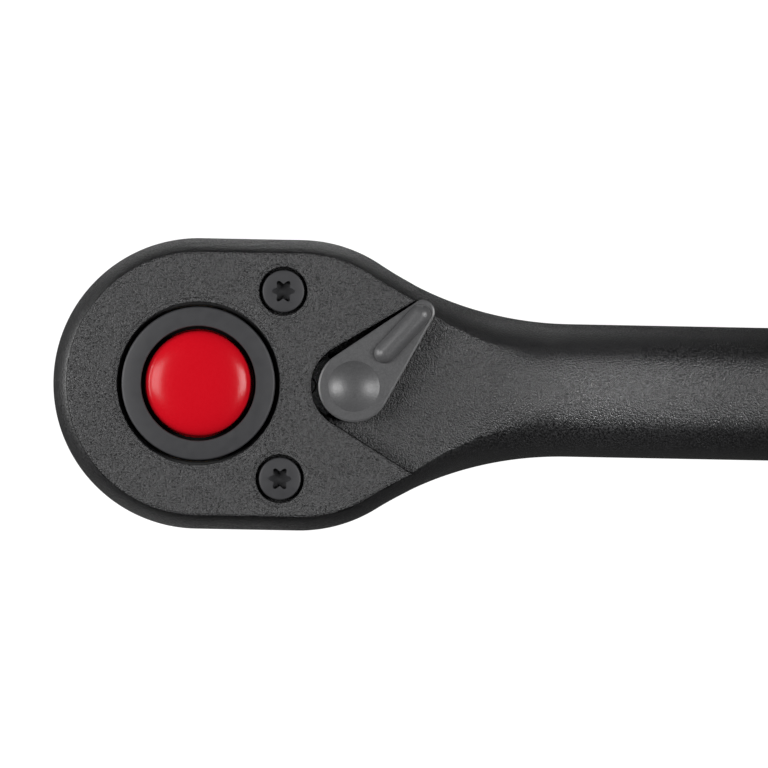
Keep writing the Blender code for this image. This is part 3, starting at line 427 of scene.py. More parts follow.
# %% [markdown]
# ## Head, neck and grip
#
# The moulding is one piece: a pear-shaped head with upright walls and rounded shoulders, which
# flows into an oval handle. It could be sculpted, but its plan outline and its section are both
# simple curves, so it is lofted: at each station of the outline a half section stands on the
# line that crosses the outline squarely. The section is a blend of the head's and the handle's.
# A half is made by extruding one row after another, and then mirrored.

# %% Plan outline of the moulding
HEAD_RADIUS = 22.0 * MM
HEAD_STRETCH = 15.3 * MM
SHOULDER_WIDTH = 2.16 * MM
WAIST_RADIUS = 52.8 * MM
NECK_WIDTH = 20.1 * MM
NECK_END_X = 96.0 * MM
BELLY_X = 172.0 * MM
BELLY_WIDTH = 31.0 * MM
GRIP_END_WIDTH = 27.0 * MM
GRIP_END_X = 248.0 * MM
GRIP_END_RADIUS = 0.5 * GRIP_END_WIDTH
GRIP_ROUND_X = GRIP_END_X - GRIP_END_RADIUS
WAIST_Y = 0.5 * NECK_WIDTH + WAIST_RADIUS
WAIST_X = HEAD_STRETCH + math.sqrt((HEAD_RADIUS + WAIST_RADIUS) ** 2 - WAIST_Y ** 2)
WAIST_ANGLE = math.atan2(WAIST_Y, WAIST_X - HEAD_STRETCH)


def grip_size(x, neck, belly, end):
    """A width or height that swells from the neck to the palm and draws in towards the end."""
    if x < BELLY_X:
        return between(neck, belly, ease((x - NECK_END_X) / (BELLY_X - NECK_END_X)))
    return between(belly, end, ease((x - BELLY_X) / (GRIP_ROUND_X - BELLY_X)))


def arc_stations(x, y, radius, start, end, segments, side):
    """Stations on an arc: a point and the outward normal, the last point left out."""
    stations = []
    for step in range(segments):
        angle = between(start, end, step / segments)
        normal = Vector((math.cos(angle), math.sin(angle), 0.0))
        stations.append((Vector((x, y, 0.0)) + radius * normal, side * normal))
    return stations


def outline_stations():
    """Stations from the nose to the end of the grip."""
    quarter = 0.5 * math.pi
    stations = arc_stations(0.0, 0.0, HEAD_RADIUS, math.pi, quarter, segments=40, side=1.0)
    for share in (0.0, 0.25, 0.5, 0.75):
        point = Vector((share * HEAD_STRETCH, HEAD_RADIUS, 0.0))
        stations.append((point, Vector((0.0, 1.0, 0.0))))
    stations += arc_stations(
        HEAD_STRETCH, 0.0, HEAD_RADIUS, quarter, WAIST_ANGLE, segments=16, side=1.0
    )
    waist_start, waist_end = WAIST_ANGLE + math.pi, 1.5 * math.pi
    stations += arc_stations(
        WAIST_X, WAIST_Y, WAIST_RADIUS, waist_start, waist_end, segments=44, side=-1.0
    )
    steps = 80
    for step in range(steps):
        x = between(WAIST_X, GRIP_ROUND_X, step / steps)
        near = grip_size(x - MM, NECK_WIDTH, BELLY_WIDTH, GRIP_END_WIDTH)
        far = grip_size(x + MM, NECK_WIDTH, BELLY_WIDTH, GRIP_END_WIDTH)
        half = 0.5 * grip_size(x, NECK_WIDTH, BELLY_WIDTH, GRIP_END_WIDTH)
        normal = Vector((-0.25 * (far - near) / MM, 1.0, 0.0)).normalized()
        stations.append((Vector((x, half, 0.0)), normal))
    stations += arc_stations(
        GRIP_ROUND_X, 0.0, GRIP_END_RADIUS, quarter, 0.0, segments=24, side=1.0
    )
    stations.append((Vector((GRIP_END_X, 0.0, 0.0)), Vector((1.0, 0.0, 0.0))))
    return stations


print(len(outline_stations()), "stations, neck starts at", round(WAIST_X / MM, 1), "mm")

# %% Sections of the moulding
UNDERSIDE_Z = 16.0 * MM
DECK_Z = 39.0 * MM
HEAD_HEIGHT = DECK_Z - UNDERSIDE_Z
SHOULDER_HEIGHT = 6.0 * MM
SHOULDER_TURN = math.radians(65.0)
NECK_HEIGHT = 19.6 * MM
NECK_TOP_Z = 42.0 * MM
BELLY_HEIGHT = 26.0 * MM
GRIP_END_HEIGHT = 23.0 * MM
FLOOR_END_X = 42.0 * MM
RAMP_END_X = 54.0 * MM
CROWN_START_X = 57.0 * MM
UNDERSIDE_END_X = 32.0 * MM
OVAL_START_X = 31.0 * MM
OVAL_END_X = 52.0 * MM
GRIP_FULLNESS = 0.93
RAMP_CURVE = 1.6
CREASE_DEGREES = 60.0
WALL_DEGREES = 34.0
ON_AXIS = 0.001


def body_heights(x):
    """The lowest and highest point of the section at x."""
    axis = NECK_TOP_Z - 0.5 * NECK_HEIGHT
    if x > NECK_END_X:
        half = 0.5 * grip_size(x, NECK_HEIGHT, BELLY_HEIGHT, GRIP_END_HEIGHT)
        return axis - half, axis + half
    low_share = ease((x - UNDERSIDE_END_X) / (CROWN_START_X - UNDERSIDE_END_X))
    climb = min(max((x - FLOOR_END_X) / (RAMP_END_X - FLOOR_END_X), 0.0), 1.0)
    return (
        between(UNDERSIDE_Z, NECK_TOP_Z - NECK_HEIGHT, low_share),
        between(DECK_Z, NECK_TOP_Z, climb ** RAMP_CURVE),
    )


def upper_section(reach):
    """The upper half section, from the middle of the top to half height.

    Each entry is the head's inset and share of height, and the angle on the handle's oval.
    """
    shoulder = SHOULDER_HEIGHT / HEAD_HEIGHT
    entries = []
    flat_steps, turn_steps, wall_steps = 10, 12, 6
    for step in range(flat_steps):
        share = step / flat_steps
        inset = between(reach, SHOULDER_WIDTH, share)
        entries.append((inset, 1.0, between(90.0, CREASE_DEGREES, share)))
    for step in range(turn_steps):
        share = step / turn_steps
        angle = SHOULDER_TURN * (1.0 - share)
        inset = SHOULDER_WIDTH * (1.0 - math.cos(angle)) / (1.0 - math.cos(SHOULDER_TURN))
        drop = shoulder * (1.0 - math.sin(angle) / math.sin(SHOULDER_TURN))
        entries.append((inset, 1.0 - drop, between(CREASE_DEGREES, WALL_DEGREES, share)))
    for step in range(wall_steps + 1):
        share = step / wall_steps
        height = between(1.0 - shoulder, 0.5, share)
        entries.append((0.0, height, between(WALL_DEGREES, 0.0, share)))
    return entries


def section_row(point, normal):
    """One row of the loft, from the middle of the top round to the middle of the underside."""
    if normal.y > ON_AXIS:
        reach = point.y / normal.y
    elif point.x < 0.0:
        reach = HEAD_RADIUS
    else:
        reach = GRIP_END_RADIUS
    oval = ease((point.x - OVAL_START_X) / (OVAL_END_X - OVAL_START_X))
    upper = upper_section(reach)
    lower = [(inset, 1.0 - share, -degrees) for inset, share, degrees in reversed(upper[:-1])]
    row = []
    for inset, share, degrees in upper + lower:
        angle = math.radians(degrees)
        full_inset = reach * (1.0 - max(math.cos(angle), 0.0) ** GRIP_FULLNESS)
        full_share = 0.5 + 0.5 * math.copysign(abs(math.sin(angle)) ** GRIP_FULLNESS, degrees)
        spot = point - between(inset, full_inset, oval) * normal
        low, top = body_heights(spot.x)
        height = between(low, top, between(share, full_share, oval))
        row.append(Vector((spot.x, max(spot.y, 0.0), height)))
    return row


sample_row = section_row(Vector((0.0, HEAD_RADIUS, 0.0)), Vector((0.0, 1.0, 0.0)))
print(len(sample_row), "points in a half section")

# %% Loft and mirror the moulding
def loft_body():
    """The whole moulding, still solid."""
    bm = bmesh.new()
    row = None
    for point, normal in outline_stations():
        spots = section_row(point, normal)
        row = start_row(bm, spots, False) if row is None else next_row(bm, row, spots, False)
    half = bm.verts[:] + bm.edges[:] + bm.faces[:]
    bmesh.ops.mirror(bm, geom=half, axis="Y", merge_dist=WELD)
    bmesh.ops.remove_doubles(bm, verts=bm.verts, dist=WELD)
    bmesh.ops.dissolve_degenerate(bm, edges=bm.edges, dist=SPECK)
    return make_piece("moulded_body", bm, sharp=15.0)


body = loft_body()
print("moulded body", len(body.data.polygons), "faces")

# %% [markdown]
# The head is hollow under its cover. A pocket holds the steel housing, a hole lets the drive
# through the underside and two blind holes take the threaded inserts. They are cut with the
# same outlines as the mechanism has, a fit larger. A thin skin of the deck stays over the pocket,
# open only round the gear and the lever, because the deck is seen to reach the lever.

# %% Cut the pocket and the holes
PAWL_X = 16.4 * MM
LEVER_X = 23.45 * MM
SCREW_REACH = 18.9 * MM
SCREW_ANGLE = math.radians(48.4)
SCREW_X = SCREW_REACH * math.cos(SCREW_ANGLE)
SCREW_Y = SCREW_REACH * math.sin(SCREW_ANGLE)
SIDES = (1.0, -1.0)
POCKET_RADIUS = 15.4 * MM
POCKET_LOW_Z = 19.0 * MM
POCKET_TOP_Z = 38.2 * MM
PAWL_BLOCK_Y = 11.0 * MM
PAWL_BLOCK_X = PAWL_X - 1.5 * MM
LEVER_BOSS_RADIUS = 5.2 * MM
MOUTH_LOW_Z = 37.0 * MM
ABOVE_DECK_Z = 41.0 * MM
LEVER_MOUTH_X = LEVER_X - 1.3 * MM
LEVER_MOUTH_RADIUS = 5.25 * MM
CLIP_RADIUS = 4.9 * MM
CLIP_LOW_Z = 17.2 * MM
DRIVE_HOLE_RADIUS = 11.25 * MM
BELOW_HEAD_Z = 14.0 * MM
IN_POCKET_Z = 20.0 * MM
INSERT_RADIUS = 2.65 * MM
INSERT_LOW_Z = 28.05 * MM


def plug(name, points, low, high):
    """A closed prism on an outline, as a tool."""
    bm = bmesh.new()
    first, last = stack(bm, [(points, low), (points, high)])
    fill(bm, [first], up=-1.0)
    fill(bm, [last], up=1.0)
    return make_piece(name, bm)


def pocket_outline():
    """A round pocket for the gear, a block for the pawl and a boss for the lever."""
    block_angle = math.asin(PAWL_BLOCK_Y / POCKET_RADIUS)
    half = arc(0.0, 0.0, POCKET_RADIUS, math.pi, block_angle, 48)
    half.append((PAWL_BLOCK_X, PAWL_BLOCK_Y))
    half += arc(LEVER_X, 0.0, LEVER_BOSS_RADIUS, math.radians(100.0), 0.0, 24)
    return closed(half)


gear_mouth = circle(0.0, 0.0, POCKET_RADIUS, 96)
lever_mouth = circle(LEVER_MOUTH_X, 0.0, LEVER_MOUTH_RADIUS)
clip_recess = circle(LEVER_X, 0.0, CLIP_RADIUS)
drive_hole = circle(0.0, 0.0, DRIVE_HOLE_RADIUS, 96)
hollows = [
    ("pocket", pocket_outline(), POCKET_LOW_Z, POCKET_TOP_Z),
    ("gear_mouth", gear_mouth, MOUTH_LOW_Z, ABOVE_DECK_Z),
    ("lever_mouth", lever_mouth, MOUTH_LOW_Z, ABOVE_DECK_Z),
    ("clip_recess", clip_recess, CLIP_LOW_Z, IN_POCKET_Z),
    ("drive_hole", drive_hole, BELOW_HEAD_Z, IN_POCKET_Z),
]
for side in SIDES:
    insert_hole = circle(SCREW_X, side * SCREW_Y, INSERT_RADIUS, 48)
    hollows.append(("insert_hole", insert_hole, INSERT_LOW_Z, ABOVE_DECK_Z))
for hollow in hollows:
    combine(body, plug(*hollow), "DIFFERENCE")
print(len(hollows), "hollows cut,", len(body.data.polygons), "faces")

# %% [markdown]
# ## Cover
#
# The cover is a flat moulding that reaches the shoulders' crease all round, with a notch for the
# lever that opens in a V. Every edge of it is the same outline moved inwards, so an eased edge is
# a stack of slightly smaller outlines. The holes are stacks too: one with a narrow step round the
# gear's journal and a counterbore for each screw.

# %% Outline of the cover
COVER_LOW_Z = 39.2 * MM
COVER_TOP_Z = 43.0 * MM
NOTCH_ANGLE = math.radians(31.35)
NOTCH_RADIUS = 6.5 * MM
EDGE_WIDTH = 0.3 * MM
EDGE_DEPTH = 0.115 * MM
SLOPE_START = 0.15 * EDGE_WIDTH
WALL_END = 1.6 * EDGE_DEPTH
SHUT_LINE = 0.12 * MM


def cover_outline(inset):
    """The cover's outline, moved inwards by an inset."""
    radius = HEAD_RADIUS - SHOULDER_WIDTH - inset
    waist = WAIST_RADIUS + SHOULDER_WIDTH + inset
    notch = NOTCH_RADIUS + inset
    edge = Vector((math.cos(NOTCH_ANGLE), math.sin(NOTCH_ANGLE)))
    start = Vector((LEVER_X - notch * edge.y, notch * edge.x))
    offset = start - Vector((WAIST_X, WAIST_Y))
    along = offset.dot(edge)
    corner = start + (-along - math.sqrt(along ** 2 - offset.length_squared + waist ** 2)) * edge
    corner_angle = math.atan2(corner.y - WAIST_Y, corner.x - WAIST_X) + 2.0 * math.pi
    half = arc(0.0, 0.0, radius, math.pi, 0.5 * math.pi, 48)
    half += arc(HEAD_STRETCH, 0.0, radius, 0.5 * math.pi, WAIST_ANGLE, 20)
    half += arc(WAIST_X, WAIST_Y, waist, WAIST_ANGLE + math.pi, corner_angle, 8)[1:]
    half += arc(LEVER_X, 0.0, notch, 0.5 * math.pi + NOTCH_ANGLE, math.pi, 28)
    return closed(half)


def plate(outline, low, top):
    """Outlines and heights of a plate whose upper edge is taken off with a narrow slope."""
    return [
        (outline(0.0), low),
        (outline(0.0), top - WALL_END),
        (outline(SLOPE_START), top - EDGE_DEPTH),
        (outline(EDGE_WIDTH), top),
    ]


print("cover outline", len(cover_outline(0.0)), "points")

# %% [markdown]
# A cover never meets its shoulder exactly: a hairline runs round it, which looks dark because
# hardly any light gets in. A narrow ring on the cover's own outline cuts it into the head.

# %% Cut the shut line
SHUT_LINE_LOW_Z = 38.0 * MM
SHUT_LINE_LAP = 0.4 * MM


def shut_line():
    """A narrow ring along the cover's edge, as a tool."""
    bm = bmesh.new()
    lows, highs = [], []
    for inset in (-SHUT_LINE, SHUT_LINE_LAP):
        points = cover_outline(inset)
        low, high = stack(bm, [(points, SHUT_LINE_LOW_Z), (points, ABOVE_DECK_Z)])
        lows.append(low)
        highs.append(high)
    fill(bm, lows, up=-1.0)
    fill(bm, highs, up=1.0)
    return make_piece("shut_line", bm)


combine(body, shut_line(), "DIFFERENCE")
mount(body, "handle", "body", composite, sharp=30.0)

# %% Build the cover
JOURNAL_HOLE_RADIUS = 12.28 * MM
SEAL_RADIUS = 13.52 * MM
SEAL_LOW_Z = 39.55 * MM
SEAL_TOP_Z = 41.45 * MM
COUNTERBORE_RADIUS = 3.65 * MM
COUNTERBORE_Z = 40.35 * MM
SCREW_HOLE_RADIUS = 2.0 * MM
SPIGOT_RADIUS = 15.1 * MM
SPIGOT_LOW_Z = 37.9 * MM
SPIGOT_TOP_Z = 39.25 * MM


def hole_rows(bm, x, y, profile, segments=72):
    """The wall of a hole, from its rim at the top down through radii and heights."""
    return stack(bm, [(circle(x, y, radius, segments), height) for radius, height in profile])


def build_cover():
    """The plate with its three holes."""
    bm = bmesh.new()
    bottom, top = stack(bm, plate(cover_outline, COVER_LOW_Z, COVER_TOP_Z))
    tops, bottoms = [top], [bottom]
    journal_hole = [
        (13.0 * MM, COVER_TOP_Z),
        (12.92 * MM, COVER_TOP_Z - 0.09 * MM),
        (12.38 * MM, COVER_TOP_Z - 0.13 * MM),
        (JOURNAL_HOLE_RADIUS, COVER_TOP_Z - 0.3 * MM),
        (JOURNAL_HOLE_RADIUS, SEAL_TOP_Z),
        (SEAL_RADIUS, SEAL_TOP_Z),
        (SEAL_RADIUS, SEAL_LOW_Z),
        (JOURNAL_HOLE_RADIUS, SEAL_LOW_Z),
        (JOURNAL_HOLE_RADIUS, COVER_LOW_Z),
    ]
    rim, low = hole_rows(bm, 0.0, 0.0, journal_hole, 128)
    tops.append(rim)
    bottoms.append(low)
    counterbore = [
        (4.3 * MM, COVER_TOP_Z),
        (4.22 * MM, COVER_TOP_Z - 0.09 * MM),
        (3.75 * MM, COVER_TOP_Z - 0.13 * MM),
        (COUNTERBORE_RADIUS, COVER_TOP_Z - 0.3 * MM),
        (COUNTERBORE_RADIUS, COUNTERBORE_Z),
        (SCREW_HOLE_RADIUS, COUNTERBORE_Z),
        (SCREW_HOLE_RADIUS, COVER_LOW_Z),
    ]
    for side in SIDES:
        rim, low = hole_rows(bm, SCREW_X, side * SCREW_Y, counterbore)
        tops.append(rim)
        bottoms.append(low)
    fill(bm, tops, up=1.0)
    fill(bm, bottoms, up=-1.0)
    return make_piece("moulded_cover", bm)


spigot_profile = [
    (JOURNAL_HOLE_RADIUS, SPIGOT_TOP_Z),
    (SPIGOT_RADIUS, SPIGOT_TOP_Z),
    (SPIGOT_RADIUS, SPIGOT_LOW_Z),
    (JOURNAL_HOLE_RADIUS, SPIGOT_LOW_Z),
]
cover = build_cover()
combine(cover, make_piece("spigot", turn(spigot_profile, ring=True)), "UNION")
mount(cover, "handle", "cover_plate", cover_composite, sharp=20.0)

# %% [markdown]
# ## Cover screws
#
# Each screw has a low cylinder head with a six-lobe socket. The head and the shank are turned
# in one, and a star-shaped plug cuts the socket.

# %% Build the screws
SCREW_HEAD_Z = 42.5 * MM
SCREW_SEAT_Z = 40.6 * MM
SCREW_POINT_Z = 30.05 * MM
SCREW_END_Z = 28.35 * MM
SCREW_HEAD_RADIUS = 3.2 * MM
SCREW_SHANK_RADIUS = 1.7 * MM
SOCKET_RADIUS = 1.75 * MM
SOCKET_LOBE = 0.18
SOCKET_LOW_Z = SCREW_HEAD_Z - 1.7 * MM
ABOVE_COVER_Z = 44.0 * MM


def star(x, y, radius, lobe, segments=72):
    """A six-lobe outline."""
    points = []
    for step in range(segments):
        angle = 2.0 * math.pi * step / segments
        reach = radius * (1.0 - lobe + lobe * math.cos(6.0 * angle))
        points.append((x + reach * math.cos(angle), y + reach * math.sin(angle)))
    return points


def build_screw(side_name, y):
    """A screw with its socket, on one side of the cover."""
    profile = [
        (0.0, SCREW_HEAD_Z),
        (2.85 * MM, SCREW_HEAD_Z),
        (3.08 * MM, SCREW_HEAD_Z - 0.06 * MM),
        (3.18 * MM, SCREW_HEAD_Z - 0.2 * MM),
        (SCREW_HEAD_RADIUS, SCREW_HEAD_Z - 0.35 * MM),
        (SCREW_HEAD_RADIUS, SCREW_SEAT_Z),
        (SCREW_SHANK_RADIUS, SCREW_SEAT_Z),
        (SCREW_SHANK_RADIUS, SCREW_POINT_Z),
        (1.02 * MM, SCREW_END_Z),
        (0.0, SCREW_END_Z),
    ]
    bm = turn(profile)
    bmesh.ops.translate(bm, verts=bm.verts, vec=(SCREW_X, y, 0.0))
    screw = make_piece("six_lobe_screw_" + side_name, bm)
    lobes = star(SCREW_X, y, SOCKET_RADIUS, SOCKET_LOBE)
    combine(screw, plug("socket", lobes, SOCKET_LOW_Z, ABOVE_COVER_Z), "DIFFERENCE")
    mount(screw, "handle", "cover_screw_" + side_name, black_steel)


build_screw("upper", SCREW_Y)
build_screw("lower", -SCREW_Y)

# %% [markdown]
# ## Drive gear
#
# The gear, its two journals and the square are one forging. Its top journal is the dark ring
# round the button, the teeth are inside the head, and the square with its ball is underneath.

# %% Outline of the teeth and the square
GEAR_TEETH = 72
GEAR_ROOT_RADIUS = 12.7 * MM
GEAR_TIP_RADIUS = 13.5 * MM
ROOT_SHARE = 0.34
TIP_SHARE = 0.06
SQUARE_SIDE = 12.7 * MM
SQUARE_LENGTH = 16.5 * MM
SQUARE_EDGE = 1.0 * MM


def gear_outline():
    """The toothed outline, with a tooth on the X axis."""
    pitch = 2.0 * math.pi / GEAR_TEETH
    tooth_points = (
        (-ROOT_SHARE, GEAR_ROOT_RADIUS),
        (-TIP_SHARE, GEAR_TIP_RADIUS),
        (TIP_SHARE, GEAR_TIP_RADIUS),
        (ROOT_SHARE, GEAR_ROOT_RADIUS),
    )
    points = []
    for tooth in range(GEAR_TEETH):
        for offset, radius in tooth_points:
            angle = (tooth + offset) * pitch
            points.append((radius * math.cos(angle), radius * math.sin(angle)))
    return points


def square_shank():
    """The square, with its edges and its end rounded."""
    bm = bmesh.new()
    bmesh.ops.create_cube(bm, size=1.0)
    bmesh.ops.scale(bm, verts=bm.verts, vec=(SQUARE_SIDE, SQUARE_SIDE, SQUARE_LENGTH))
    bmesh.ops.translate(bm, verts=bm.verts, vec=(0.0, 0.0, 0.5 * SQUARE_LENGTH))
    edges = [edge for edge in bm.edges if min(vert.co.z for vert in edge.verts) < MM]
    bmesh.ops.bevel(
        bm, geom=edges, offset=SQUARE_EDGE, segments=4, profile=0.5, affect="EDGES", material=-1
    )
    return make_piece("square", bm)


print(len(gear_outline()), "points round the teeth")

# %% Build the drive gear
TEETH_LOW_Z = 22.1 * MM
TEETH_TOP_Z = 36.7 * MM
JOURNAL_RADIUS = 11.57 * MM
JOURNAL_LOW_Z = 23.1 * MM
LOWER_JOURNAL_RADIUS = 9.5 * MM
GEAR_LOW_Z = 15.5 * MM
BUTTON_BORE_RADIUS = 8.65 * MM
BUTTON_BORE_Z = 33.0 * MM
SNAP_GROOVE_RADIUS = 9.3 * MM
SNAP_GROOVE_LOW_Z = 38.8 * MM
SNAP_GROOVE_TOP_Z = 40.0 * MM
SPRING_BORE_RADIUS = 4.93 * MM
SPRING_BORE_Z = 26.0 * MM
ROD_BORE_RADIUS = 3.1 * MM
ROD_BORE_Z = 1.5 * MM
ABOVE_GEAR_Z = 45.0 * MM
BALL_Z = 8.0 * MM
BALL_HOLE_RADIUS = 2.62 * MM
BALL_LIP_RADIUS = 2.28 * MM
BALL_HOLE_END = 6.4 * MM
BALL_HOLE_START = 1.5 * MM


def build_gear():
    """The forging with its teeth, square, bores and the hole for the ball."""
    journals = [
        (0.0, COVER_TOP_Z),
        (11.2 * MM, COVER_TOP_Z),
        (11.42 * MM, COVER_TOP_Z - 0.06 * MM),
        (11.53 * MM, COVER_TOP_Z - 0.18 * MM),
        (JOURNAL_RADIUS, COVER_TOP_Z - 0.36 * MM),
        (JOURNAL_RADIUS, JOURNAL_LOW_Z),
        (LOWER_JOURNAL_RADIUS, JOURNAL_LOW_Z),
        (LOWER_JOURNAL_RADIUS, 15.9 * MM),
        (9.1 * MM, GEAR_LOW_Z),
        (0.0, GEAR_LOW_Z),
    ]
    gear = make_piece("forged_drive_gear", turn(journals, steps=128))
    combine(gear, plug("teeth", gear_outline(), TEETH_LOW_Z, TEETH_TOP_Z), "UNION")
    combine(gear, square_shank(), "UNION")
    bores = [
        (0.0, ABOVE_GEAR_Z),
        (9.2 * MM, ABOVE_GEAR_Z),
        (8.75 * MM, COVER_TOP_Z),
        (BUTTON_BORE_RADIUS, COVER_TOP_Z - 0.15 * MM),
        (BUTTON_BORE_RADIUS, SNAP_GROOVE_TOP_Z),
        (SNAP_GROOVE_RADIUS, SNAP_GROOVE_TOP_Z),
        (SNAP_GROOVE_RADIUS, SNAP_GROOVE_LOW_Z),
        (BUTTON_BORE_RADIUS, SNAP_GROOVE_LOW_Z),
        (BUTTON_BORE_RADIUS, BUTTON_BORE_Z),
        (SPRING_BORE_RADIUS, BUTTON_BORE_Z),
        (SPRING_BORE_RADIUS, SPRING_BORE_Z),
        (ROD_BORE_RADIUS, SPRING_BORE_Z),
        (ROD_BORE_RADIUS, ROD_BORE_Z),
        (0.0, ROD_BORE_Z),
    ]
    combine(gear, make_piece("bores", turn(bores, steps=128)), "DIFFERENCE")
    ball_hole = [
        (0.0, BALL_HOLE_END),
        (BALL_LIP_RADIUS, BALL_HOLE_END),
        (BALL_HOLE_RADIUS, 4.4 * MM),
        (BALL_HOLE_RADIUS, BALL_HOLE_START),
        (0.0, BALL_HOLE_START),
    ]
    bm = turn(ball_hole, steps=48)
    lay_along_x(bm, (0.0, 0.0, BALL_Z))
    combine(gear, make_piece("ball_hole", bm), "DIFFERENCE")
    mount(gear, "drive", "drive_gear", black_steel)


build_gear()

# %% [markdown]
# ## Button and ball
#
# The red button is a low dome: a profile a little fuller than an ellipse, spun round. Its flange
# sits under the snap ring. The ball stands out of the square's side and holds a socket.

# %% Build the button and the ball
BUTTON_RADIUS = 7.95 * MM
BUTTON_RIM_Z = 41.6 * MM
BUTTON_DOME = 2.4 * MM
BUTTON_FULLNESS = 0.72
BUTTON_LOW_Z = 36.5 * MM
FLANGE_RADIUS = 8.4 * MM
FLANGE_LOW_Z = 37.45 * MM
FLANGE_TOP_Z = 38.75 * MM
ROD_SEAT_RADIUS = 2.85 * MM
ROD_SEAT_Z = 39.7 * MM
BALL_RADIUS = 2.38 * MM
BALL_X = 5.17 * MM


def build_button():
    """The dome, its flange and the seat of the rod."""
    profile = []
    steps = 24
    for step in range(steps + 1):
        angle = 0.5 * math.pi * (1.0 - step / steps)
        radius = BUTTON_RADIUS * max(math.cos(angle), 0.0) ** BUTTON_FULLNESS if step else 0.0
        rise = BUTTON_DOME * max(math.sin(angle), 0.0) ** BUTTON_FULLNESS
        profile.append((radius, BUTTON_RIM_Z + rise))
    profile += [
        (BUTTON_RADIUS, FLANGE_TOP_Z),
        (FLANGE_RADIUS, FLANGE_TOP_Z),
        (FLANGE_RADIUS, FLANGE_LOW_Z),
        (BUTTON_RADIUS, FLANGE_LOW_Z),
        (BUTTON_RADIUS, BUTTON_LOW_Z),
        (ROD_SEAT_RADIUS, BUTTON_LOW_Z),
        (ROD_SEAT_RADIUS, ROD_SEAT_Z),
        (0.0, ROD_SEAT_Z),
    ]
    piece = make_piece("domed_button", turn(profile, steps=128))
    mount(piece, "release", "release_button", button_plastic)


def build_ball():
    """The ball, standing out of the square's side."""
    bm = bmesh.new()
    bmesh.ops.create_uvsphere(bm, u_segments=48, v_segments=32, radius=BALL_RADIUS)
    bmesh.ops.translate(bm, verts=bm.verts, vec=(BALL_X, 0.0, BALL_Z))
    mount(make_piece("hard_steel_ball", bm), "ball", "socket_ball", bright_steel)


build_button()
build_ball()

# %% [markdown]
# ## Reversing lever
#
# The lever is a teardrop plate with a thumb rib along it and a dish over its pivot. It is made
# along X, with the pivot at the origin, and then turned to where it rests and moved to its axis.

# %% Shapes of the lever
LEVER_REST = math.radians(48.3)
LEVER_LENGTH = 15.3 * MM
LEVER_HUB_RADIUS = 5.4 * MM
LEVER_TIP_RADIUS = 1.8 * MM
LEVER_LOW_Z = 39.4 * MM
LEVER_TOP_Z = 42.6 * MM
RIB_RADIUS = 1.6 * MM
RIB_START = 5.25 * MM
RIB_END = 16.3 * MM
RIB_SINK = 0.2 * MM


def lever_outline(inset):
    """The teardrop, moved inwards by an inset."""
    square = 0.5 * math.pi
    taper = math.asin((LEVER_HUB_RADIUS - LEVER_TIP_RADIUS) / LEVER_LENGTH)
    points = arc(LEVER_LENGTH, 0.0, LEVER_TIP_RADIUS - inset, taper - square, square - taper, 20)
    points += arc(0.0, 0.0, LEVER_HUB_RADIUS - inset, square - taper, 3.0 * square + taper, 72)
    return points


def lever_rib():
    """A bar with round ends, lying along X on the plate."""
    length = RIB_END - RIB_START
    top = arc(0.0, length - RIB_RADIUS, RIB_RADIUS, 0.5 * math.pi, 0.0, 12)
    base = arc(0.0, RIB_RADIUS, RIB_RADIUS, 0.0, -0.5 * math.pi, 12)
    bm = turn([(max(radius, 0.0), height) for radius, height in top + base], steps=48)
    lay_along_x(bm, (RIB_START, 0.0, LEVER_TOP_Z - RIB_SINK))
    return make_piece("rib", bm)


print("lever outline", len(lever_outline(0.0)), "points")

# %% Build the lever
DISH_RADIUS = 3.86 * MM
DISH_DEPTH = 1.3 * MM
SHAFT_RADIUS = 3.4 * MM
SHAFT_TOP_Z = 40.4 * MM
SHAFT_LOW_Z = 17.5 * MM
SHAFT_END_RADIUS = 3.05 * MM
CLIP_GROOVE_RADIUS = 2.6 * MM
CLIP_GROOVE_LOW_Z = 17.8 * MM
CLIP_GROOVE_TOP_Z = 18.9 * MM
PLUNGER_Z = 29.4 * MM
PLUNGER_BORE_RADIUS = 1.4 * MM
PLUNGER_BORE_LENGTH = 8.0 * MM
PLUNGER_BORE_X = 2.4 * MM


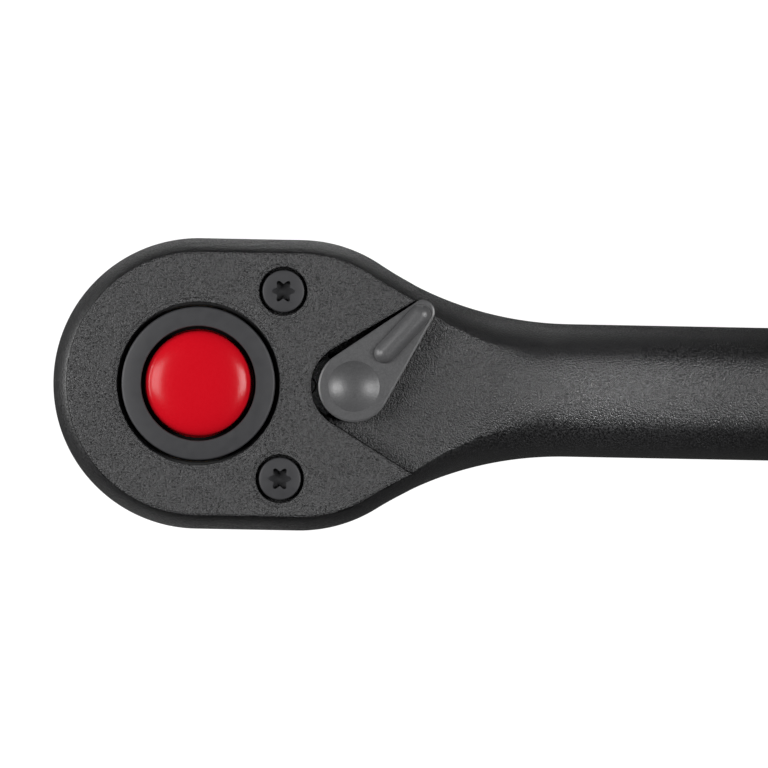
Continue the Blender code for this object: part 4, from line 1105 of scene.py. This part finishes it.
def build_lever():
    """The plate with its rib, shaft, dish and the plunger's bore."""
    bm = bmesh.new()
    first, last = stack(bm, plate(lever_outline, LEVER_LOW_Z, LEVER_TOP_Z))
    fill(bm, [first], up=-1.0)
    fill(bm, [last], up=1.0)
    lever = make_piece("teardrop_lever", bm)
    combine(lever, lever_rib(), "UNION")
    shaft = [
        (0.0, SHAFT_TOP_Z),
        (SHAFT_RADIUS, SHAFT_TOP_Z),
        (SHAFT_RADIUS, CLIP_GROOVE_TOP_Z),
        (CLIP_GROOVE_RADIUS, CLIP_GROOVE_TOP_Z),
        (CLIP_GROOVE_RADIUS, CLIP_GROOVE_LOW_Z),
        (SHAFT_END_RADIUS, CLIP_GROOVE_LOW_Z),
        (SHAFT_END_RADIUS, SHAFT_LOW_Z),
        (0.0, SHAFT_LOW_Z),
    ]
    combine(lever, make_piece("shaft", turn(shaft, steps=64)), "UNION")
    dish = (DISH_RADIUS ** 2 + DISH_DEPTH ** 2) / (2.0 * DISH_DEPTH)
    bm = bmesh.new()
    bmesh.ops.create_uvsphere(bm, u_segments=96, v_segments=64, radius=dish)
    bmesh.ops.translate(bm, verts=bm.verts, vec=(0.0, 0.0, LEVER_TOP_Z - DISH_DEPTH + dish))
    combine(lever, make_piece("dish", bm), "DIFFERENCE")
    bore = [
        (0.0, 0.0),
        (PLUNGER_BORE_RADIUS, 0.0),
        (PLUNGER_BORE_RADIUS, -PLUNGER_BORE_LENGTH),
        (0.0, -PLUNGER_BORE_LENGTH),
    ]
    bm = turn(bore, steps=32)
    lay_along_x(bm, (PLUNGER_BORE_X, 0.0, PLUNGER_Z))
    combine(lever, make_piece("plunger_bore", bm), "DIFFERENCE")
    turned = Matrix.Translation((LEVER_X, 0.0, 0.0)) @ Matrix.Rotation(LEVER_REST, 4, "Z")
    lever.data.transform(turned)
    mount(lever, "lever", "reversing_lever", lever_plastic, sharp=20.0)


build_lever()

# %% [markdown]
# ## Springs
#
# Both springs are wound from round wire, so a circle is carried along a helix. Each one rides on
# the piece that holds its fixed end, and has a mesh of its own.

# %% Wind the springs
STEPS_PER_TURN = 28
WIRE_SIDES = 12


def wound(name, radius, start, end, turns, wire, place):
    """A coil of round wire about Z, from one height to another, moved to its place."""
    bm = bmesh.new()
    steps = turns * STEPS_PER_TURN
    rows = []
    for step in range(steps + 1):
        angle = 2.0 * math.pi * turns * step / steps
        outward = Vector((math.cos(angle), math.sin(angle), 0.0))
        rise = (end - start) / (2.0 * math.pi * turns)
        along = Vector((-radius * outward.y, radius * outward.x, rise)).normalized()
        across = along.cross(outward)
        middle = radius * outward + Vector((0.0, 0.0, between(start, end, step / steps)))
        wire_points = circle(0.0, 0.0, 0.5 * wire, WIRE_SIDES)
        spots = [middle + x * outward + y * across for x, y in wire_points]
        rows.append(next_row(bm, rows[-1], spots, True) if rows else start_row(bm, spots, True))
    bm.faces.new(rows[0])
    bm.faces.new(rows[-1])
    bmesh.ops.transform(bm, matrix=place, verts=bm.verts)
    return make_piece(name, bm)


release_coil = wound(
    "wound_release_spring",
    radius=3.8 * MM,
    start=26.75 * MM,
    end=35.8 * MM,
    turns=6,
    wire=0.8 * MM,
    place=Matrix(),
)
mount(release_coil, "drive", "release_spring", spring_steel)
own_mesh(release_coil)

lever_middle = Vector((LEVER_X, 0.0, PLUNGER_Z))
in_shaft = Matrix.Translation(lever_middle) @ Matrix.Rotation(LEVER_REST, 4, "Z")
in_shaft = in_shaft @ Matrix.Rotation(0.5 * math.pi, 4, "Y")
plunger_coil = wound(
    "wound_plunger_spring",
    radius=0.9 * MM,
    start=-0.99 * MM,
    end=1.97 * MM,
    turns=3,
    wire=0.4 * MM,
    place=in_shaft,
)
mount(plunger_coil, "lever", "pawl_spring", spring_steel)
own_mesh(plunger_coil)

# %% [markdown]
# ## Pieces inside the head
#
# The rest of the mechanism keeps the model's own shapes. Each node gets the finish of its metal
# or rubber, so that it looks right when the part is opened or shown by itself. The housing and the
# snap ring are dark phosphated steel, darkened further as painted shade where they show in gaps.

# %% Finish the inner pieces
INNER_FINISHES = {
    "mechanism_housing": dark_steel_and_gap_shade,
    "screw_insert_upper": brass,
    "screw_insert_lower": brass,
    "lower_bush": bronze,
    "thrust_washer": bronze,
    "dust_seal": rubber,
    "lever_seal": rubber,
    "release_rod": bright_steel,
    "button_snap_ring": dark_steel_and_gap_shade,
    "pawl": bright_steel,
    "pawl_pin": bright_steel,
    "pawl_plunger": bright_steel,
    "lever_circlip": spring_steel,
}
for node_name, inner_finish in INNER_FINISHES.items():
    node_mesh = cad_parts[node_name].data
    node_mesh.materials.clear()
    node_mesh.materials.append(inner_finish)
print(len(INNER_FINISHES), "inner pieces finished")

# %% [markdown]
# ## Floor and light
#
# The photograph is a cut-out on white. To the camera the floor shines white by itself, with only
# a trace of the shadow left. Its own colour is a grey, so that little light comes up from below,
# and reflections see the white at a small share. The light is two soft boxes, at the nose and at
# the handle, which give the button and the dish their paired highlights. A lamp with a narrow grid
# lifts the neck's crown, a low box lights the nose, and lamps over the floor on both sides of the
# head light the shoulders.

# %% Floor
FLOOR_REACH = 3.0
FLOOR_Z = -0.05 * MM
FLOOR_GLOW = 1.12
GLOW_SHARE = 0.97
MIRRORED_SHARE = 0.03


def build_floor():
    """A wide sheet that is white to the camera, with a trace of shadow."""
    bm = bmesh.new()
    bmesh.ops.create_grid(bm, x_segments=1, y_segments=1, size=FLOOR_REACH)
    bmesh.ops.translate(bm, verts=bm.verts, vec=(0.0, 0.0, FLOOR_Z))
    mesh = bpy.data.meshes.new("floor")
    bm.to_mesh(mesh)
    bm.free()
    floor = bpy.data.objects.new("floor", mesh)
    bpy.context.scene.collection.objects.link(floor)
    material, tree, shader, _ = start_material("white_paper_sweep")
    shader.inputs["Base Color"].default_value = linear("404040")
    shader.inputs["Roughness"].default_value = 0.9
    rays = add(tree, "LightPath").outputs
    mirrored = maths(tree, "MULTIPLY", rays["Is Glossy Ray"], MIRRORED_SHARE)
    seen = maths(tree, "MAXIMUM", rays["Is Camera Ray"], mirrored)
    shown = maths(tree, "MAXIMUM", seen, rays["Is Transmission Ray"])
    share = maths(tree, "MULTIPLY", shown, GLOW_SHARE)
    glow = add(tree, "Emission", {"Color": linear("ffffff"), "Strength": FLOOR_GLOW})
    mixed = add(tree, "MixShader", {0: share, 1: shader.outputs[0], 2: glow.outputs[0]})
    tree.links.new(mixed.outputs[0], tree.nodes["Material Output"].inputs["Surface"])
    mesh.materials.append(material)


build_floor()
print("floor at", round(FLOOR_Z / MM, 2), "mm")

# %% Lights
def soft_box(name, spot, aim, width, height, watts, spread=180.0):
    """A rectangular soft light at a spot, turned to a point, with a grid if it spreads less."""
    lamp = bpy.data.lights.new(name, "AREA")
    lamp.shape = "RECTANGLE"
    lamp.size = width
    lamp.size_y = height
    lamp.energy = watts
    lamp.spread = math.radians(spread)
    light = bpy.data.objects.new(name, lamp)
    light.location = spot
    light.rotation_euler = (Vector(aim) - Vector(spot)).to_track_quat("-Z", "Y").to_euler()
    bpy.context.scene.collection.objects.link(light)
    print(name, watts, "W")


HEAD_MIDDLE = (0.02, 0.0, 0.03)
PAPER_LAMP_Z = 0.11
soft_box("nose_box", (-0.4, 0.04, 0.47), HEAD_MIDDLE, width=0.27, height=0.33, watts=2.95)
soft_box("handle_box", (0.5, 0.04, 0.47), HEAD_MIDDLE, width=0.27, height=0.33, watts=4.2)
soft_box(
    "neck_box",
    (0.156, 0.0, 0.6),
    (0.0625, 0.0, 0.04),
    width=0.014,
    height=0.014,
    watts=0.0021,
    spread=5.0,
)
soft_box("low_nose_box", (-0.45, 0.03, 0.12), HEAD_MIDDLE, width=0.3, height=0.12, watts=1.3)
for lamp_name, lamp_x, lamp_y, aim_y, lamp_watts in (
    ("paper_box", 0.028, 0.07, 0.08, 0.28),
    ("near_paper_box", -0.02, -0.065, -0.075, 0.09),
    ("far_paper_box", -0.035, 0.06, 0.07, 0.14),
):
    above, below = (lamp_x, lamp_y, PAPER_LAMP_Z), (lamp_x, aim_y, 0.0)
    soft_box(lamp_name, above, below, width=0.06, height=0.04, watts=lamp_watts, spread=46.0)

# %% Room light
ROOM_LIGHT = 0.012

world = bpy.data.worlds.new("studio")
world.use_nodes = True
room = world.node_tree.nodes["Background"]
room.inputs["Color"].default_value = linear("ffffff")
to_camera = add(world.node_tree, "LightPath").outputs["Is Camera Ray"]
room_glow = remap(world.node_tree, to_camera, 0.0, 1.0, ROOM_LIGHT, 1.0)
world.node_tree.links.new(room_glow, room.inputs["Strength"])
bpy.context.scene.world = world
bpy.context.scene.view_settings.view_transform = "Standard"
print("room light", ROOM_LIGHT)

# %% [markdown]
# ## Camera
#
# The photograph looks straight down, from a little towards the nose, and the handle runs down to
# the right by about a degree. The frame is 116 mm wide at the cover.

# %% Camera
VIEW_WIDTH = 115.7 * MM
VIEW_DISTANCE = 2.0
VIEW_LEAN = math.radians(-0.5)
VIEW_ROLL = math.radians(1.1)
VIEW_TARGET = Vector((27.97 * MM, 0.44 * MM, COVER_TOP_Z))
SENSOR_WIDTH = 36.0

lens = bpy.data.cameras.new("camera")
lens.sensor_width = SENSOR_WIDTH
lens.lens = SENSOR_WIDTH * VIEW_DISTANCE / VIEW_WIDTH
camera = bpy.data.objects.new("camera", lens)
turn_view = Matrix.Rotation(VIEW_ROLL, 4, "Z") @ Matrix.Rotation(VIEW_LEAN, 4, "Y")
back_off = Matrix.Translation((0.0, 0.0, VIEW_DISTANCE))
camera.matrix_world = Matrix.Translation(VIEW_TARGET) @ turn_view @ back_off
bpy.context.scene.collection.objects.link(camera)
bpy.context.scene.camera = camera
print("lens", round(lens.lens), "mm")
